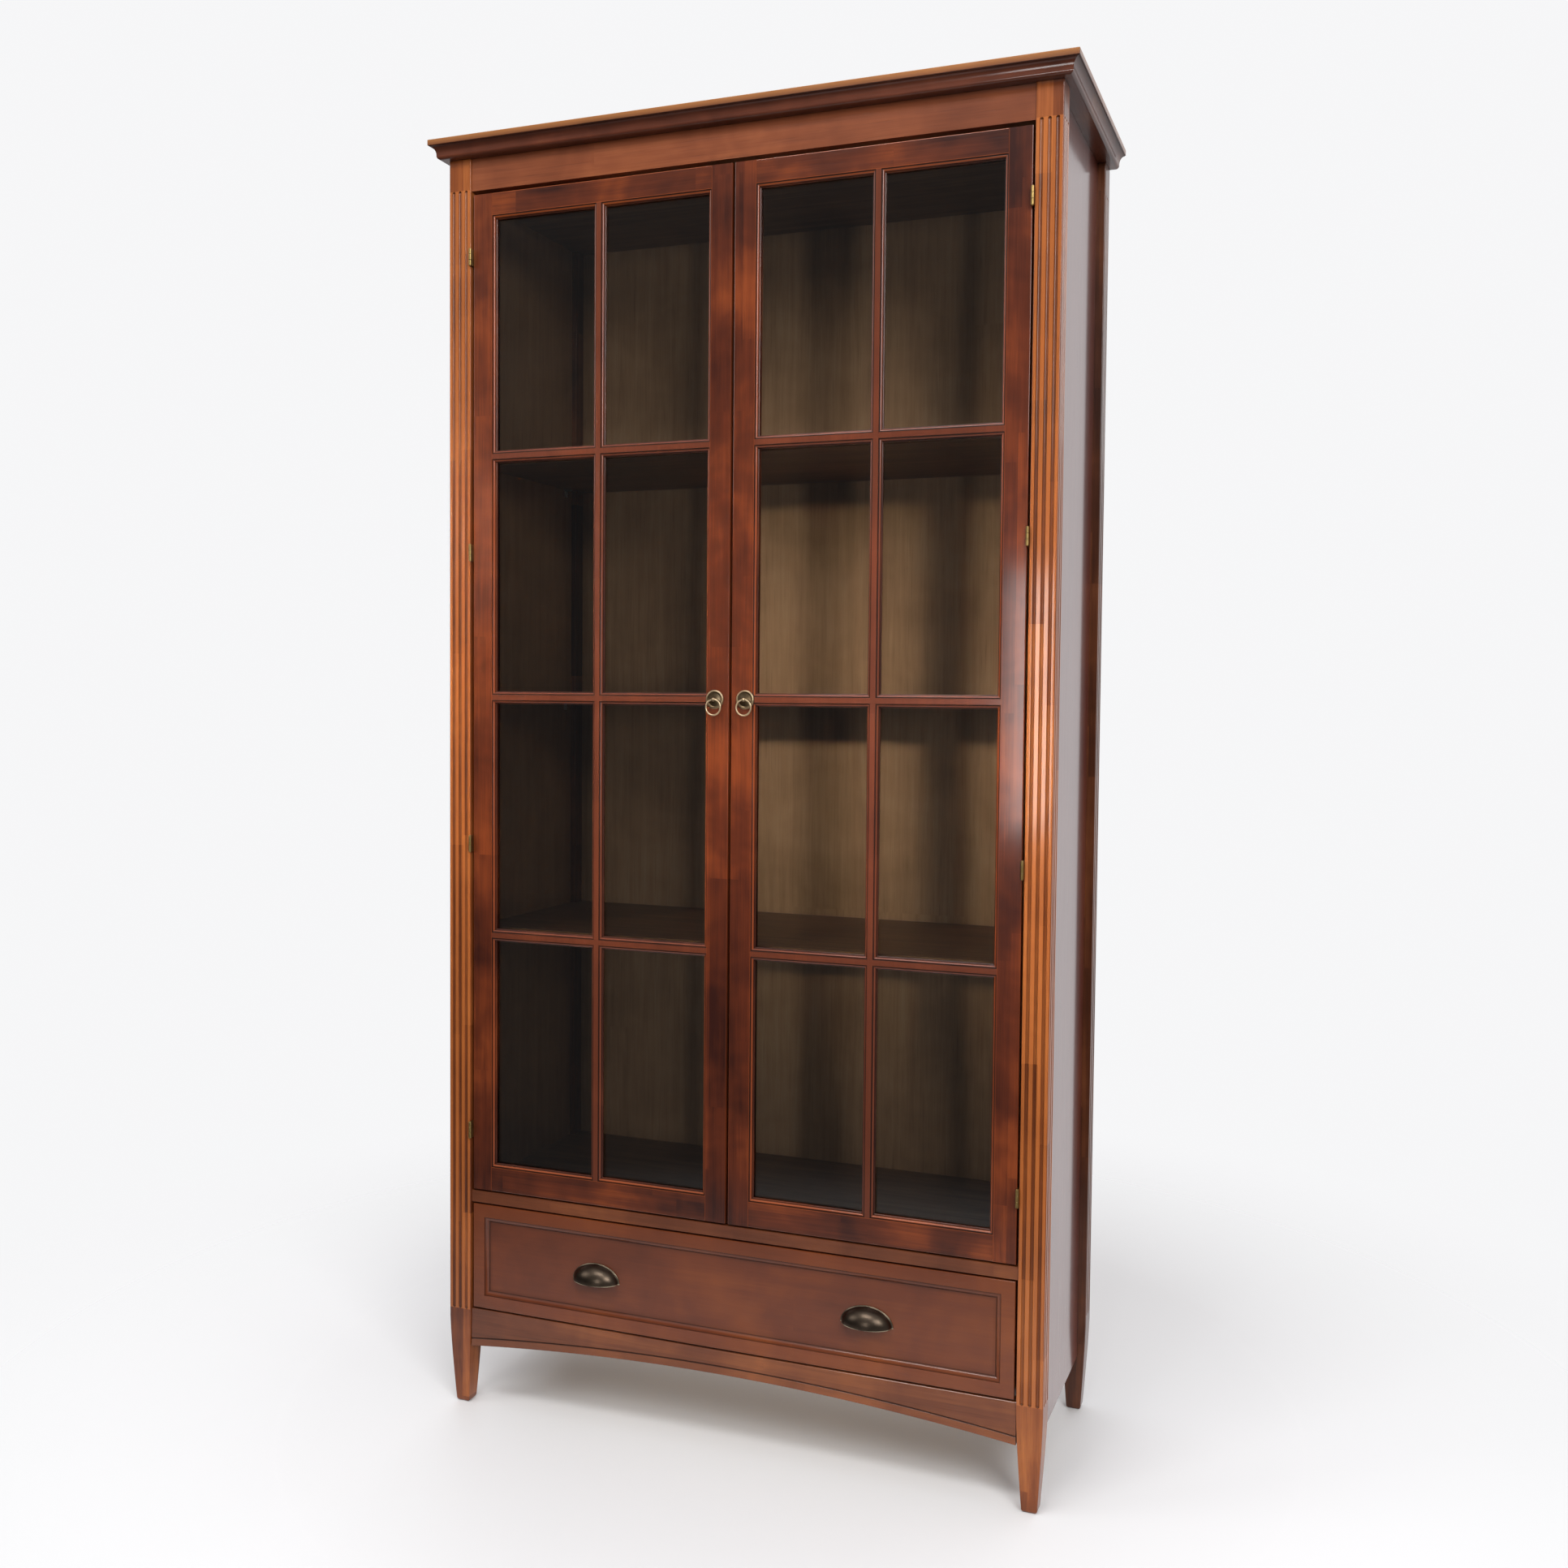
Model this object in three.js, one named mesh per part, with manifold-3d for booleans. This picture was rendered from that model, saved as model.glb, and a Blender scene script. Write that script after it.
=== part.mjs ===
// A tall glazed china cabinet: four fluted posts carry a crowned top, two glazed doors and one drawer.
// Millimetres, +Z up. The origin is on the floor under the middle of the cabinet, the doors face -Y,
// and left and right are as seen from the front.
import * as THREE from 'three';
import { mergeVertices } from 'three/addons/utils/BufferGeometryUtils.js';
import Module from 'manifold-3d';

const wasm = await Module();
wasm.setup();

// ---------- Driving dimensions ----------

// Case
const overallHeight = 1980;
const caseWidth = 952;           // over the outer faces of the posts
const caseDepth = 376;           // over the front and rear faces of the posts
const postSize = 38;
const frontSetback = 3;          // rails, doors and drawer front stand behind the posts' faces
const railThickness = 20;

// Legs: the lowest length of each post, tapered on all four faces
const legTaperHeight = 140;
const footSize = 22;
const postArris = 1.5;
const footArris = 5;
const legCurve = 1.3;            // 1 gives a straight taper, more gives a slight sweep

// Flutes
const fluteCount = 3;
const fluteWidth = 5.4;
const fluteDepth = 2.2;
const flutePitch = 11;
const fluteAboveLeg = 14;        // flutes stop above the taper
const fluteTopInset = 47.5;      // below the cornice

// Crown
const corniceHeight = 28;
const corniceOverhang = 24;
const soffitOverhang = 12.5;
const corniceSeat = 20;          // how far the moulding reaches in over the post tops
const corniceLip = 9;
const corniceFillet = 3;         // upright strip under the bead
const corniceBead = 5;
const corniceQuirk = 1.5;        // small steps beside the bead and under the lip
const topBoardThickness = 18;

// Rails across the front
const friezeHeight = 49;
const doorTopGap = 6;
const doorBottomGap = 3;
const dividerHeight = 18;
const dividerDepth = 60;
const drawerGap = 3;
const drawerFrontHeight = 166;
const apronEndHeight = 61;
const apronEndAboveFloor = 95;
const archRise = 25;

// Panels
const sidePanelThickness = 16;
const sidePanelSetback = 13;
const sidePanelAboveFloor = 89;
const panelTongue = 6;
const backPanelThickness = 6;
const backPanelInset = 8;        // from the posts' rear faces
const ceilingThickness = 12;
const floorThickness = 15;
const shelfThickness = 18;
const shelfFrontGap = 6;         // behind the doors
const shelfSideGap = 1.2;

// Doors
const doorThickness = 20;
const doorMeetingGap = 4;
const stileWidth = 38.5;         // moulded edge included, as for the rails and bars
const doorTopRailHeight = 39;
const doorBottomRailHeight = 43;
const barWidth = 19;
const barDepth = 9;
const stickingWidth = 5.5;
const rebateWidth = 7;
const glassThickness = 3;
const glassEdgeGap = 1;          // inside the rebates
const paneRows = 4;

// Butt hinges
const hingeLength = 25.4;
const hingeLeafThickness = 1.2;
const hingeLeafClearance = 0.5;  // between the two leaves of a closed door
const hingeLeafWidth = 13;
const hingeBarrelRadius = 2.5;
const hingePinRadius = 1.4;
const hingePinClearance = 0.15;
const hingeStandoff = 4;         // barrel axis in front of the posts' faces
const hingeKnuckleGap = 0.3;
const hingesPerDoor = 4;
const topHingeInset = 95.5;      // hinge centre below the door top
const bottomHingeInset = 95;

// Ring pulls
const ringOuterRadius = 13;
const ringWireRadius = 1.5;
const ringPlateRadius = 14;
const ringPlateThickness = 1.8;
const ringPlateRim = 4;          // flat rim round the raised middle
const ringPlateRise = 0.8;
const ringEyeRadius = 4.5;
const ringEyeStandoff = 6.5;     // eye centre in front of the plate's back
const ringNeckRadius = 3.2;
const ringEyeClearance = 0.3;
const ringPullHeight = 0.5;      // height of the eye as a share of the glazed opening

// Drawer box
const drawerFrameWidth = 20;
const drawerMouldWidth = 8;
const drawerPanelRecess = 5;
const drawerSideThickness = 12;
const drawerSideBottomInset = 12; // from the front's lower edge to the side's
const drawerSideTopInset = 26;   // from the front's upper edge to the side's
const drawerRearClearance = 22;  // between the drawer back and the back panel
const drawerBottomThickness = 5;
const drawerBottomRise = 7;      // above the sides' lower edges
const drawerGrooveDepth = 5;
const drawerSideClearance = 7;   // between the drawer side and the post's inner face
const runnerHeight = 34;
const runnerLedgeHeight = 12;
const runnerLedgeCover = 9;      // how far the ledge reaches under the drawer side

// Cup pulls
const cupWidth = 80;
const cupHeight = 28;
const cupRaise = 1.5;            // how far the pulls sit above the middle of the drawer front
const cupProjection = 25;
const cupWall = 1.8;
const cupFlangeWidth = 3.5;
const cupFlangeThickness = 1.4;

// Clearances
const seatGap = 0.3;             // between pieces that are glued, screwed or seated together
const copeGap = 0.42;            // sideways shift that leaves seatGap on a 45 degree moulding
const slideGap = 0.5;            // under the sliding drawer
const cutMargin = 1;             // how far a cutter runs past the face it cuts

// ---------- Places worked out from the dimensions above ----------

const overallDepth = caseDepth + corniceOverhang;
const postFaceY = corniceOverhang - overallDepth / 2;
const backY = postFaceY + caseDepth;
const railFaceY = postFaceY + frontSetback;
const railBackY = railFaceY + railThickness;
const doorBackY = railFaceY + doorThickness;
const halfCase = caseWidth / 2;
const postInnerX = halfCase - postSize;

const soffitZ = overallHeight - corniceHeight;
const friezeBottomZ = soffitZ - friezeHeight;
const doorTopZ = friezeBottomZ - doorTopGap;
const apronTopZ = apronEndAboveFloor + apronEndHeight;
const drawerBottomZ = apronTopZ + drawerGap;
const drawerTopZ = drawerBottomZ + drawerFrontHeight;
const dividerBottomZ = drawerTopZ + drawerGap;
const dividerTopZ = dividerBottomZ + dividerHeight;
const doorBottomZ = dividerTopZ + doorBottomGap;

const sidePanelOuterX = halfCase - sidePanelSetback;
const sidePanelInnerX = sidePanelOuterX - sidePanelThickness;
const backPanelBackY = backY - backPanelInset;
const backPanelFrontY = backPanelBackY - backPanelThickness;

const doorHingeGap = 2 * (hingeLeafThickness + seatGap) + hingeLeafClearance;
const openingTopZ = doorTopZ - doorTopRailHeight;
const openingBottomZ = doorBottomZ + doorBottomRailHeight;
const paneHeight = (openingTopZ - openingBottomZ - (paneRows - 1) * barWidth) / paneRows;
const doorOuterX = postInnerX - doorHingeGap;
const doorInnerX = doorMeetingGap / 2;
const barHeights = Array.from({ length: paneRows - 1 },
  (_, row) => openingBottomZ + (row + 1) * paneHeight + (row + 0.5) * barWidth);

// ---------- Materials ----------

function material(color, roughness, metalness = 0) {
  return new THREE.MeshStandardMaterial({ color, roughness, metalness });
}
const stainedWood = material(0x8a4526, 0.35);
const doorWood = material(0x84402a, 0.35);
const interiorWood = material(0x6d4a32, 0.55);
const plywood = material(0x7a6650, 0.6);
const drawerWood = material(0xb08a5c, 0.65);
const brass = material(0xc9a45a, 0.3, 1);
const agedBrass = material(0x6e5a40, 0.35, 1);
const glass = material(0xdfe8e4, 0.05);
glass.transparent = true;
glass.opacity = 0.25;

// ---------- Solids ----------

// A three.js geometry as a solid that can be cut and joined.
function solid(geometry) {
  geometry.deleteAttribute('normal');
  geometry.deleteAttribute('uv');
  const merged = mergeVertices(geometry, 1e-5);
  return new wasm.Manifold(new wasm.Mesh({
    numProp: 3,
    vertProperties: new Float32Array(merged.attributes.position.array),
    triVerts: new Uint32Array(merged.index.array),
  }));
}

function box(x0, x1, y0, y1, z0, z1) {
  const geometry = new THREE.BoxGeometry(Math.abs(x1 - x0), y1 - y0, z1 - z0);
  return solid(geometry.translate((x0 + x1) / 2, (y0 + y1) / 2, (z0 + z1) / 2));
}

function extrusion(points, depth) {
  const outline = new THREE.Shape(points.map(([u, v]) => new THREE.Vector2(u, v)));
  return new THREE.ExtrudeGeometry(outline, { depth, bevelEnabled: false });
}

// An outline of (x, y) points standing from z0 to z1.
function prismZ(points, z0, z1) {
  return solid(extrusion(points, z1 - z0).translate(0, 0, z0));
}

// An outline of (y, z) points running from x0 to x1.
function prismX(points, x0, x1) {
  const turn = new THREE.Matrix4().makeBasis(
    new THREE.Vector3(0, 1, 0), new THREE.Vector3(0, 0, 1), new THREE.Vector3(1, 0, 0));
  return solid(extrusion(points, x1 - x0).applyMatrix4(turn).translate(x0, 0, 0));
}

// An outline of (x, z) points running from y0 to y1.
function prismY(points, y0, y1) {
  return solid(extrusion(points, y1 - y0).rotateX(Math.PI / 2).translate(0, y1, 0));
}

function cylinder(radius, x, y, z0, z1, segments = 20) {
  const geometry = new THREE.CylinderGeometry(radius, radius, z1 - z0, segments);
  return solid(geometry.rotateX(Math.PI / 2).translate(x, y, (z0 + z1) / 2));
}

// A disc or rod whose axis runs front to back.
function rodY(radius, x, z, y0, y1, segments = 24) {
  const geometry = new THREE.CylinderGeometry(radius, radius, y1 - y0, segments);
  return solid(geometry.translate(x, (y0 + y1) / 2, z));
}

function union(solids) {
  return solids.reduce((whole, piece) => whole.add(piece));
}

const cabinet = new THREE.Group();

function addPart(name, shape, finish) {
  const { vertProperties, triVerts } = shape.getMesh();
  const geometry = new THREE.BufferGeometry();
  geometry.setAttribute('position', new THREE.BufferAttribute(new Float32Array(vertProperties), 3));
  geometry.setIndex(new THREE.BufferAttribute(new Uint32Array(triVerts), 1));
  const flat = geometry.toNonIndexed();
  flat.computeVertexNormals();
  const mesh = new THREE.Mesh(flat, finish);
  mesh.name = name;
  cabinet.add(mesh);
}

const sides = [['left', -1], ['right', 1]];

// Two distances from the middle plane as a low and a high x on the given side.
function span(sign, a, b) {
  return [sign * a, sign * b].sort((low, high) => low - high);
}

// ---------- Posts ----------

// A square post with eased corners whose lowest length narrows to the foot.
function taperedPost(centreX, centreY, topZ) {
  const half = postSize / 2;
  const outline = new THREE.Shape();
  for (let corner = 0; corner < 4; corner += 1) {
    const angle = corner * Math.PI / 2;
    const [cos, sin] = [Math.cos(angle), Math.sin(angle)];
    const spin = (u, v) => [u * cos - v * sin, u * sin + v * cos];
    outline[corner ? 'lineTo' : 'moveTo'](...spin(half, half - postArris));
    outline.lineTo(...spin(half - postArris, half));
  }
  const taperLevels = [legTaperHeight / 3, legTaperHeight * 2 / 3, legTaperHeight];
  const levels = [0, footArris / 3, footArris, ...taperLevels, topZ];
  const steps = levels.length - 1;
  const geometry = new THREE.ExtrudeGeometry(outline, { depth: 1, steps, bevelEnabled: false });
  const position = geometry.attributes.position;
  for (let i = 0; i < position.count; i += 1) {
    const z = levels[Math.round(position.getZ(i) * steps)];
    const narrowing = ((legTaperHeight - Math.min(z, legTaperHeight)) / legTaperHeight) ** legCurve;
    const rounding = z < footArris ? footArris - Math.sqrt(footArris ** 2 - (footArris - z) ** 2) : 0;
    const width = postSize - (postSize - footSize) * narrowing - rounding;
    const scale = width / postSize;
    position.setXYZ(i, centreX + position.getX(i) * scale, centreY + position.getY(i) * scale, z);
  }
  return solid(geometry);
}

// Stopped flutes with round ends: each is a capsule-shaped cut standing on the face.
function fluteCutters(faceX, faceY, normal, alongX) {
  const radius = (fluteWidth ** 2 / 4 + fluteDepth ** 2) / (2 * fluteDepth);
  const outside = radius - fluteDepth;
  const fluteBottom = legTaperHeight + fluteAboveLeg;
  const length = soffitZ - fluteTopInset - fluteBottom - fluteWidth;
  const middleZ = fluteBottom + fluteWidth / 2 + length / 2;
  return Array.from({ length: fluteCount }, (_, index) => {
    const along = (index - (fluteCount - 1) / 2) * flutePitch;
    const x = alongX ? faceX + along : faceX + normal * outside;
    const y = alongX ? faceY + normal * outside : faceY + along;
    const capsule = new THREE.CapsuleGeometry(radius, length, 4, 16);
    return solid(capsule.rotateX(Math.PI / 2).translate(x, y, middleZ));
  });
}

const postTopZ = soffitZ - seatGap;
const sideGrooveY = { front: postFaceY + postSize, rear: backY - postSize };

for (const [side, sign] of sides) {
  const centreX = sign * (halfCase - postSize / 2);
  const grooveX = span(sign, sidePanelInnerX - seatGap, sidePanelOuterX + seatGap);
  const grooveBottomZ = sidePanelAboveFloor - seatGap;

  const frontCentreY = postFaceY + postSize / 2;
  let frontPost = taperedPost(centreX, frontCentreY, postTopZ);
  frontPost = frontPost.subtract(union([
    ...fluteCutters(centreX, postFaceY, -1, true),
    ...fluteCutters(sign * halfCase, frontCentreY, sign, false)]));
  frontPost = frontPost.subtract(box(...grooveX, sideGrooveY.front - panelTongue - seatGap,
    sideGrooveY.front + cutMargin, grooveBottomZ, overallHeight));
  addPart(`post_front_${side}`, frontPost, stainedWood);

  const rearCentreY = backY - postSize / 2;
  let rearPost = taperedPost(centreX, rearCentreY, postTopZ);
  rearPost = rearPost.subtract(union(fluteCutters(sign * halfCase, rearCentreY, sign, false)));
  rearPost = rearPost.subtract(box(...grooveX, sideGrooveY.rear - cutMargin,
    sideGrooveY.rear + panelTongue + seatGap, grooveBottomZ, overallHeight));
  const backGrooveX = span(sign, postInnerX - cutMargin, postInnerX + panelTongue + seatGap);
  rearPost = rearPost.subtract(box(...backGrooveX, backPanelFrontY - seatGap, backPanelBackY + seatGap,
    apronTopZ - seatGap, overallHeight));
  addPart(`post_rear_${side}`, rearPost, stainedWood);

  const panelX = span(sign, sidePanelInnerX, sidePanelOuterX);
  const panelY = [sideGrooveY.front - panelTongue, sideGrooveY.rear + panelTongue];
  addPart(`side_panel_${side}`, box(...panelX, ...panelY, sidePanelAboveFloor, postTopZ), stainedWood);
}

// ---------- Crown ----------

// Cornice section as (outward, height): soffit, fillet, bead, cove and square lip.
function corniceSection() {
  const beadRadius = corniceBead / 2;
  const beadMiddle = soffitZ + corniceFillet + beadRadius;
  const beadX = soffitOverhang + corniceQuirk * 2 / 3;
  const coveStart = soffitOverhang + corniceQuirk;
  const coveWidth = corniceOverhang - corniceQuirk - coveStart;
  const coveBottom = beadMiddle + beadRadius + corniceQuirk / 3;
  const lipBottom = overallHeight - corniceLip;
  const coveHeight = lipBottom - coveBottom;
  const beadPoints = [1, 2, 3, 4].map((step) => {
    const angle = Math.PI * (step / 4 - 1 / 2);
    return [beadX + beadRadius * Math.cos(angle), beadMiddle + beadRadius * Math.sin(angle)];
  });
  const covePoints = [0, 1, 2, 3, 4, 5].map((step) => {
    const angle = Math.PI / 2 * step / 5;
    return [coveStart + coveWidth * (1 - Math.cos(angle)), coveBottom + coveHeight * Math.sin(angle)];
  });
  return [
    [-corniceSeat, soffitZ], [soffitOverhang, soffitZ], [soffitOverhang, soffitZ + corniceFillet],
    ...beadPoints, ...covePoints,
    [corniceOverhang, lipBottom], [corniceOverhang, overallHeight], [-corniceSeat, overallHeight]];
}

// A block turned by 45 degrees that fills one side of the mitre at a front corner of the crown.
const corniceX = halfCase + corniceOverhang;
const corniceFrontY = postFaceY - corniceOverhang;
function mitreBlock(sign, backwards) {
  const size = 4 * (corniceOverhang + corniceSeat);
  const shift = backwards * (size - seatGap) / Math.SQRT2 / 2;
  const block = new THREE.BoxGeometry(size, size, 2 * corniceHeight).rotateZ(Math.PI / 4);
  return solid(block.translate(sign * (corniceX + shift), corniceFrontY + shift, overallHeight));
}
const corniceOutline = corniceSection();
const frontLength = prismX(corniceOutline.map(([out, z]) => [postFaceY - out, z]), -corniceX, corniceX);
addPart('cornice_front', frontLength.subtract(mitreBlock(-1, 1)).subtract(mitreBlock(1, 1)), stainedWood);
for (const [side, sign] of sides) {
  const length = prismY(corniceOutline.map(([out, z]) => [sign * (halfCase + out), z]), corniceFrontY, backY);
  addPart(`cornice_${side}`, length.subtract(mitreBlock(sign, -1)), stainedWood);
}

const topBoardX = halfCase - corniceSeat - seatGap;
addPart('top_board', box(-topBoardX, topBoardX, postFaceY + corniceSeat + seatGap, backY,
  overallHeight - topBoardThickness, overallHeight), stainedWood);

// ---------- Rails across the front ----------

const railX = postInnerX - seatGap;
addPart('frieze_rail', box(-railX, railX, railFaceY, railBackY, friezeBottomZ, postTopZ), stainedWood);
addPart('divider_rail', box(
  -railX, railX, railFaceY, railFaceY + dividerDepth, dividerBottomZ, dividerTopZ), stainedWood);

// The apron's lower edge is one shallow arc of a circle, from post to post.
const archRadius = (railX ** 2 + archRise ** 2) / (2 * archRise);
const archSteps = 24;
const archPoints = Array.from({ length: archSteps + 1 }, (_, step) => {
  const x = railX * (2 * step / archSteps - 1);
  return [x, apronEndAboveFloor + archRise - archRadius + Math.sqrt(archRadius ** 2 - x ** 2)];
});
addPart('apron', prismY([
  [-railX, apronTopZ], ...archPoints, [railX, apronTopZ]], railFaceY, railBackY), stainedWood);

// ---------- Back, ceiling, floor and shelves ----------

const backPanelX = postInnerX + panelTongue;
addPart('back_panel', box(
  -backPanelX, backPanelX, backPanelFrontY, backPanelBackY, apronTopZ, postTopZ), plywood);

// A board between the side panels, notched round the four posts.
function innerBoard(frontY, z0, z1, sideGap) {
  const reach = sidePanelInnerX - sideGap;
  const rearY = backPanelFrontY - seatGap;
  const notches = sides.flatMap(([, sign]) => {
    const notchX = span(sign, postInnerX - sideGap, reach + cutMargin);
    const notchZ = [z0 - cutMargin, z1 + cutMargin];
    return [
      box(...notchX, frontY - cutMargin, postFaceY + postSize + sideGap, ...notchZ),
      box(...notchX, backY - postSize - sideGap, rearY + cutMargin, ...notchZ)];
  });
  return box(-reach, reach, frontY, rearY, z0, z1).subtract(union(notches));
}
addPart('ceiling_panel', innerBoard(
  railBackY + seatGap, friezeBottomZ, friezeBottomZ + ceilingThickness, seatGap), interiorWood);
addPart('cabinet_floor', innerBoard(
  railFaceY + dividerDepth + seatGap, dividerTopZ - floorThickness, dividerTopZ, seatGap), interiorWood);
['shelf_lower', 'shelf_middle', 'shelf_upper'].forEach((name, row) => {
  const bottomZ = barHeights[row] - shelfThickness / 2;
  addPart(name, innerBoard(
    doorBackY + shelfFrontGap, bottomZ, bottomZ + shelfThickness, shelfSideGap), interiorWood);
});

// ---------- Doors ----------

// Stile, rail and bar edges share one moulded section: a 45 degree sticking in front and a rebate behind.
// Points are (distance from the member's outer edge, depth behind the door's face).
function memberSection(width, grow = 0) {
  return [[0, 0], [width - stickingWidth + grow, 0], [width + grow, stickingWidth], [width + grow, barDepth],
    [width - rebateWidth + grow, barDepth], [width - rebateWidth + grow, doorThickness], [0, doorThickness]];
}

function stile(outerX, inward, grow) {
  const section = memberSection(stileWidth, grow);
  const points = section.map(([across, depth]) => [outerX + inward * across, railFaceY + depth]);
  return prismZ(points, doorBottomZ, doorTopZ);
}

function rail(outerZ, inward, height, x0, x1, grow) {
  const section = memberSection(height, grow);
  return prismX(section.map(([across, depth]) => [railFaceY + depth, outerZ + inward * across]), x0, x1);
}

// Points are (distance from the bar's centre line, depth behind the door's face).
const barHalf = barWidth / 2;
const barOutline = [[-barHalf + stickingWidth, 0], [barHalf - stickingWidth, 0], [barHalf, stickingWidth],
  [barHalf, barDepth], [-barHalf, barDepth], [-barHalf, stickingWidth]];

for (const [side, sign] of sides) {
  const [x0, x1] = span(sign, doorInnerX, doorOuterX);
  const stiles = (grow) => stile(x0, 1, grow).add(stile(x1, -1, grow));
  addPart(`door_${side}_hinge_stile`, stile(sign * doorOuterX, -sign, 0), doorWood);
  addPart(`door_${side}_meeting_stile`, stile(sign * doorInnerX, sign, 0), doorWood);

  const railInset = stileWidth - rebateWidth + copeGap;
  const railEnds = [x0 + railInset, x1 - railInset];
  const topRail = (grow) => rail(doorTopZ, -1, doorTopRailHeight, ...railEnds, grow);
  const bottomRail = (grow) => rail(doorBottomZ, 1, doorBottomRailHeight, ...railEnds, grow);
  addPart(`door_${side}_top_rail`, topRail(0).subtract(stiles(copeGap)), doorWood);
  addPart(`door_${side}_bottom_rail`, bottomRail(0).subtract(stiles(copeGap)), doorWood);

  // One upright and three cross bars, half-lapped and glued into one lattice.
  const middleX = (x0 + x1) / 2;
  const upright = prismZ(barOutline.map(([across, depth]) => [middleX + across, railFaceY + depth]),
    openingBottomZ - stickingWidth, openingTopZ + stickingWidth);
  const crossBars = barHeights.map((z) => prismX(
    barOutline.map(([across, depth]) => [railFaceY + depth, z + across]),
    x0 + stileWidth - stickingWidth, x1 - stileWidth + stickingWidth));
  const frame = stiles(copeGap).add(topRail(copeGap)).add(bottomRail(copeGap));
  addPart(`door_${side}_glazing_bars`, union([upright, ...crossBars]).subtract(frame), doorWood);

  const glassCover = rebateWidth - glassEdgeGap;
  const glassFrontY = railFaceY + barDepth + seatGap;
  addPart(`door_${side}_glass`, box(x0 + stileWidth - glassCover, x1 - stileWidth + glassCover,
    glassFrontY, glassFrontY + glassThickness, openingBottomZ - glassCover, openingTopZ + glassCover), glass);
}

// ---------- Hinges ----------

// A leaf is a notched plate joined to its knuckles. The plate's outline is (distance behind the pin, height).
const knuckleLength = hingeLength / 3;
const hingeAxisX = postInnerX - doorHingeGap / 2;
const hingeAxisY = postFaceY - hingeStandoff;

function hingeLeaf(sign, z, isPostLeaf) {
  const bore = hingePinRadius + hingePinClearance;
  const joined = bore + hingeKnuckleGap / 3;
  const clear = hingeBarrelRadius + hingeKnuckleGap;
  const bottom = z - hingeLength / 2;
  const knuckles = [0, 1, 2].map((index) => ({
    from: bottom + index * knuckleLength + (index > 0 ? hingeKnuckleGap / 2 : 0),
    to: bottom + (index + 1) * knuckleLength - (index < 2 ? hingeKnuckleGap / 2 : 0),
    own: isPostLeaf === (index !== 1),
  }));
  const outline = [];
  for (const { from, to, own } of knuckles) {
    const edge = own ? joined : clear;
    const low = own ? from : from - hingeKnuckleGap;
    const high = own ? to : to + hingeKnuckleGap;
    outline.push([edge, Math.max(low, bottom)], [edge, Math.min(high, bottom + hingeLength)]);
  }
  const plateEnd = hingeStandoff + hingeLeafWidth;
  outline.push([plateEnd, bottom + hingeLength], [plateEnd, bottom]);
  const faceX = isPostLeaf ? postInnerX - seatGap : doorOuterX + seatGap;
  const innerX = isPostLeaf ? faceX - hingeLeafThickness : faceX + hingeLeafThickness;
  const plateX = span(sign, faceX, innerX);
  let leaf = prismX(outline.map(([y, height]) => [hingeAxisY + y, height]), ...plateX);
  const x = sign * hingeAxisX;
  for (const { from, to } of knuckles.filter(({ own }) => own)) {
    leaf = leaf.add(cylinder(hingeBarrelRadius, x, hingeAxisY, from, to));
  }
  return isPostLeaf
    ? leaf.subtract(cylinder(bore, x, hingeAxisY, bottom - cutMargin, bottom + hingeLength + cutMargin))
    : leaf.add(cylinder(hingePinRadius, x, hingeAxisY, bottom, bottom + hingeLength, 16));
}

const topHingeZ = doorTopZ - topHingeInset;
const bottomHingeZ = doorBottomZ + bottomHingeInset;
for (const [side, sign] of sides) {
  for (let index = 0; index < hingesPerDoor; index += 1) {
    const z = topHingeZ + (bottomHingeZ - topHingeZ) * index / (hingesPerDoor - 1);
    addPart(`hinge_${side}_${index + 1}_post_leaf`, hingeLeaf(sign, z, true), brass);
    addPart(`hinge_${side}_${index + 1}_door_leaf`, hingeLeaf(sign, z, false), brass);
  }
}

// ---------- Ring pulls ----------

const ringEyeY = railFaceY - ringEyeStandoff;
const ringBendRadius = ringOuterRadius - ringWireRadius;
const ringSag = ringBendRadius - Math.sqrt(ringBendRadius ** 2 - ringEyeRadius ** 2);
const ringEyeBoreRadius = ringWireRadius + ringSag + ringEyeClearance;
const ringEyeZ = openingBottomZ + (openingTopZ - openingBottomZ) * ringPullHeight;
for (const [side, sign] of sides) {
  const x = sign * (doorInnerX + (stileWidth + stickingWidth) / 2);
  const plateBackY = railFaceY - seatGap;
  const plateFaceY = plateBackY - ringPlateThickness;
  const plate = rodY(ringPlateRadius, x, ringEyeZ, plateFaceY, plateBackY);
  const boss = rodY(ringPlateRadius - ringPlateRim, x, ringEyeZ, plateFaceY - ringPlateRise, plateBackY);
  const neck = rodY(ringNeckRadius, x, ringEyeZ, ringEyeY + ringEyeBoreRadius, plateBackY, 16);
  const ball = solid(new THREE.SphereGeometry(ringEyeRadius, 18, 12).translate(x, ringEyeY, ringEyeZ));
  const eyeLength = 2 * (ringEyeRadius + cutMargin);
  const eye = solid(new THREE.CylinderGeometry(ringEyeBoreRadius, ringEyeBoreRadius, eyeLength, 18)
    .rotateZ(Math.PI / 2).translate(x, ringEyeY, ringEyeZ));
  addPart(`ring_pull_${side}_plate`, union([plate, boss, neck, ball]).subtract(eye), agedBrass);

  // The ring hangs through the eye, so its top lies on the pivot line.
  const ring = new THREE.TorusGeometry(ringBendRadius, ringWireRadius, 8, 32);
  addPart(`ring_pull_${side}_ring`,
    solid(ring.rotateX(Math.PI / 2).translate(x, ringEyeY, ringEyeZ - ringBendRadius)), agedBrass);
}

// ---------- Drawer ----------

const drawerFrontX = doorOuterX;
const drawerFrontBackY = railFaceY + railThickness;
const drawerCentreZ = (drawerBottomZ + drawerTopZ) / 2;

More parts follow.
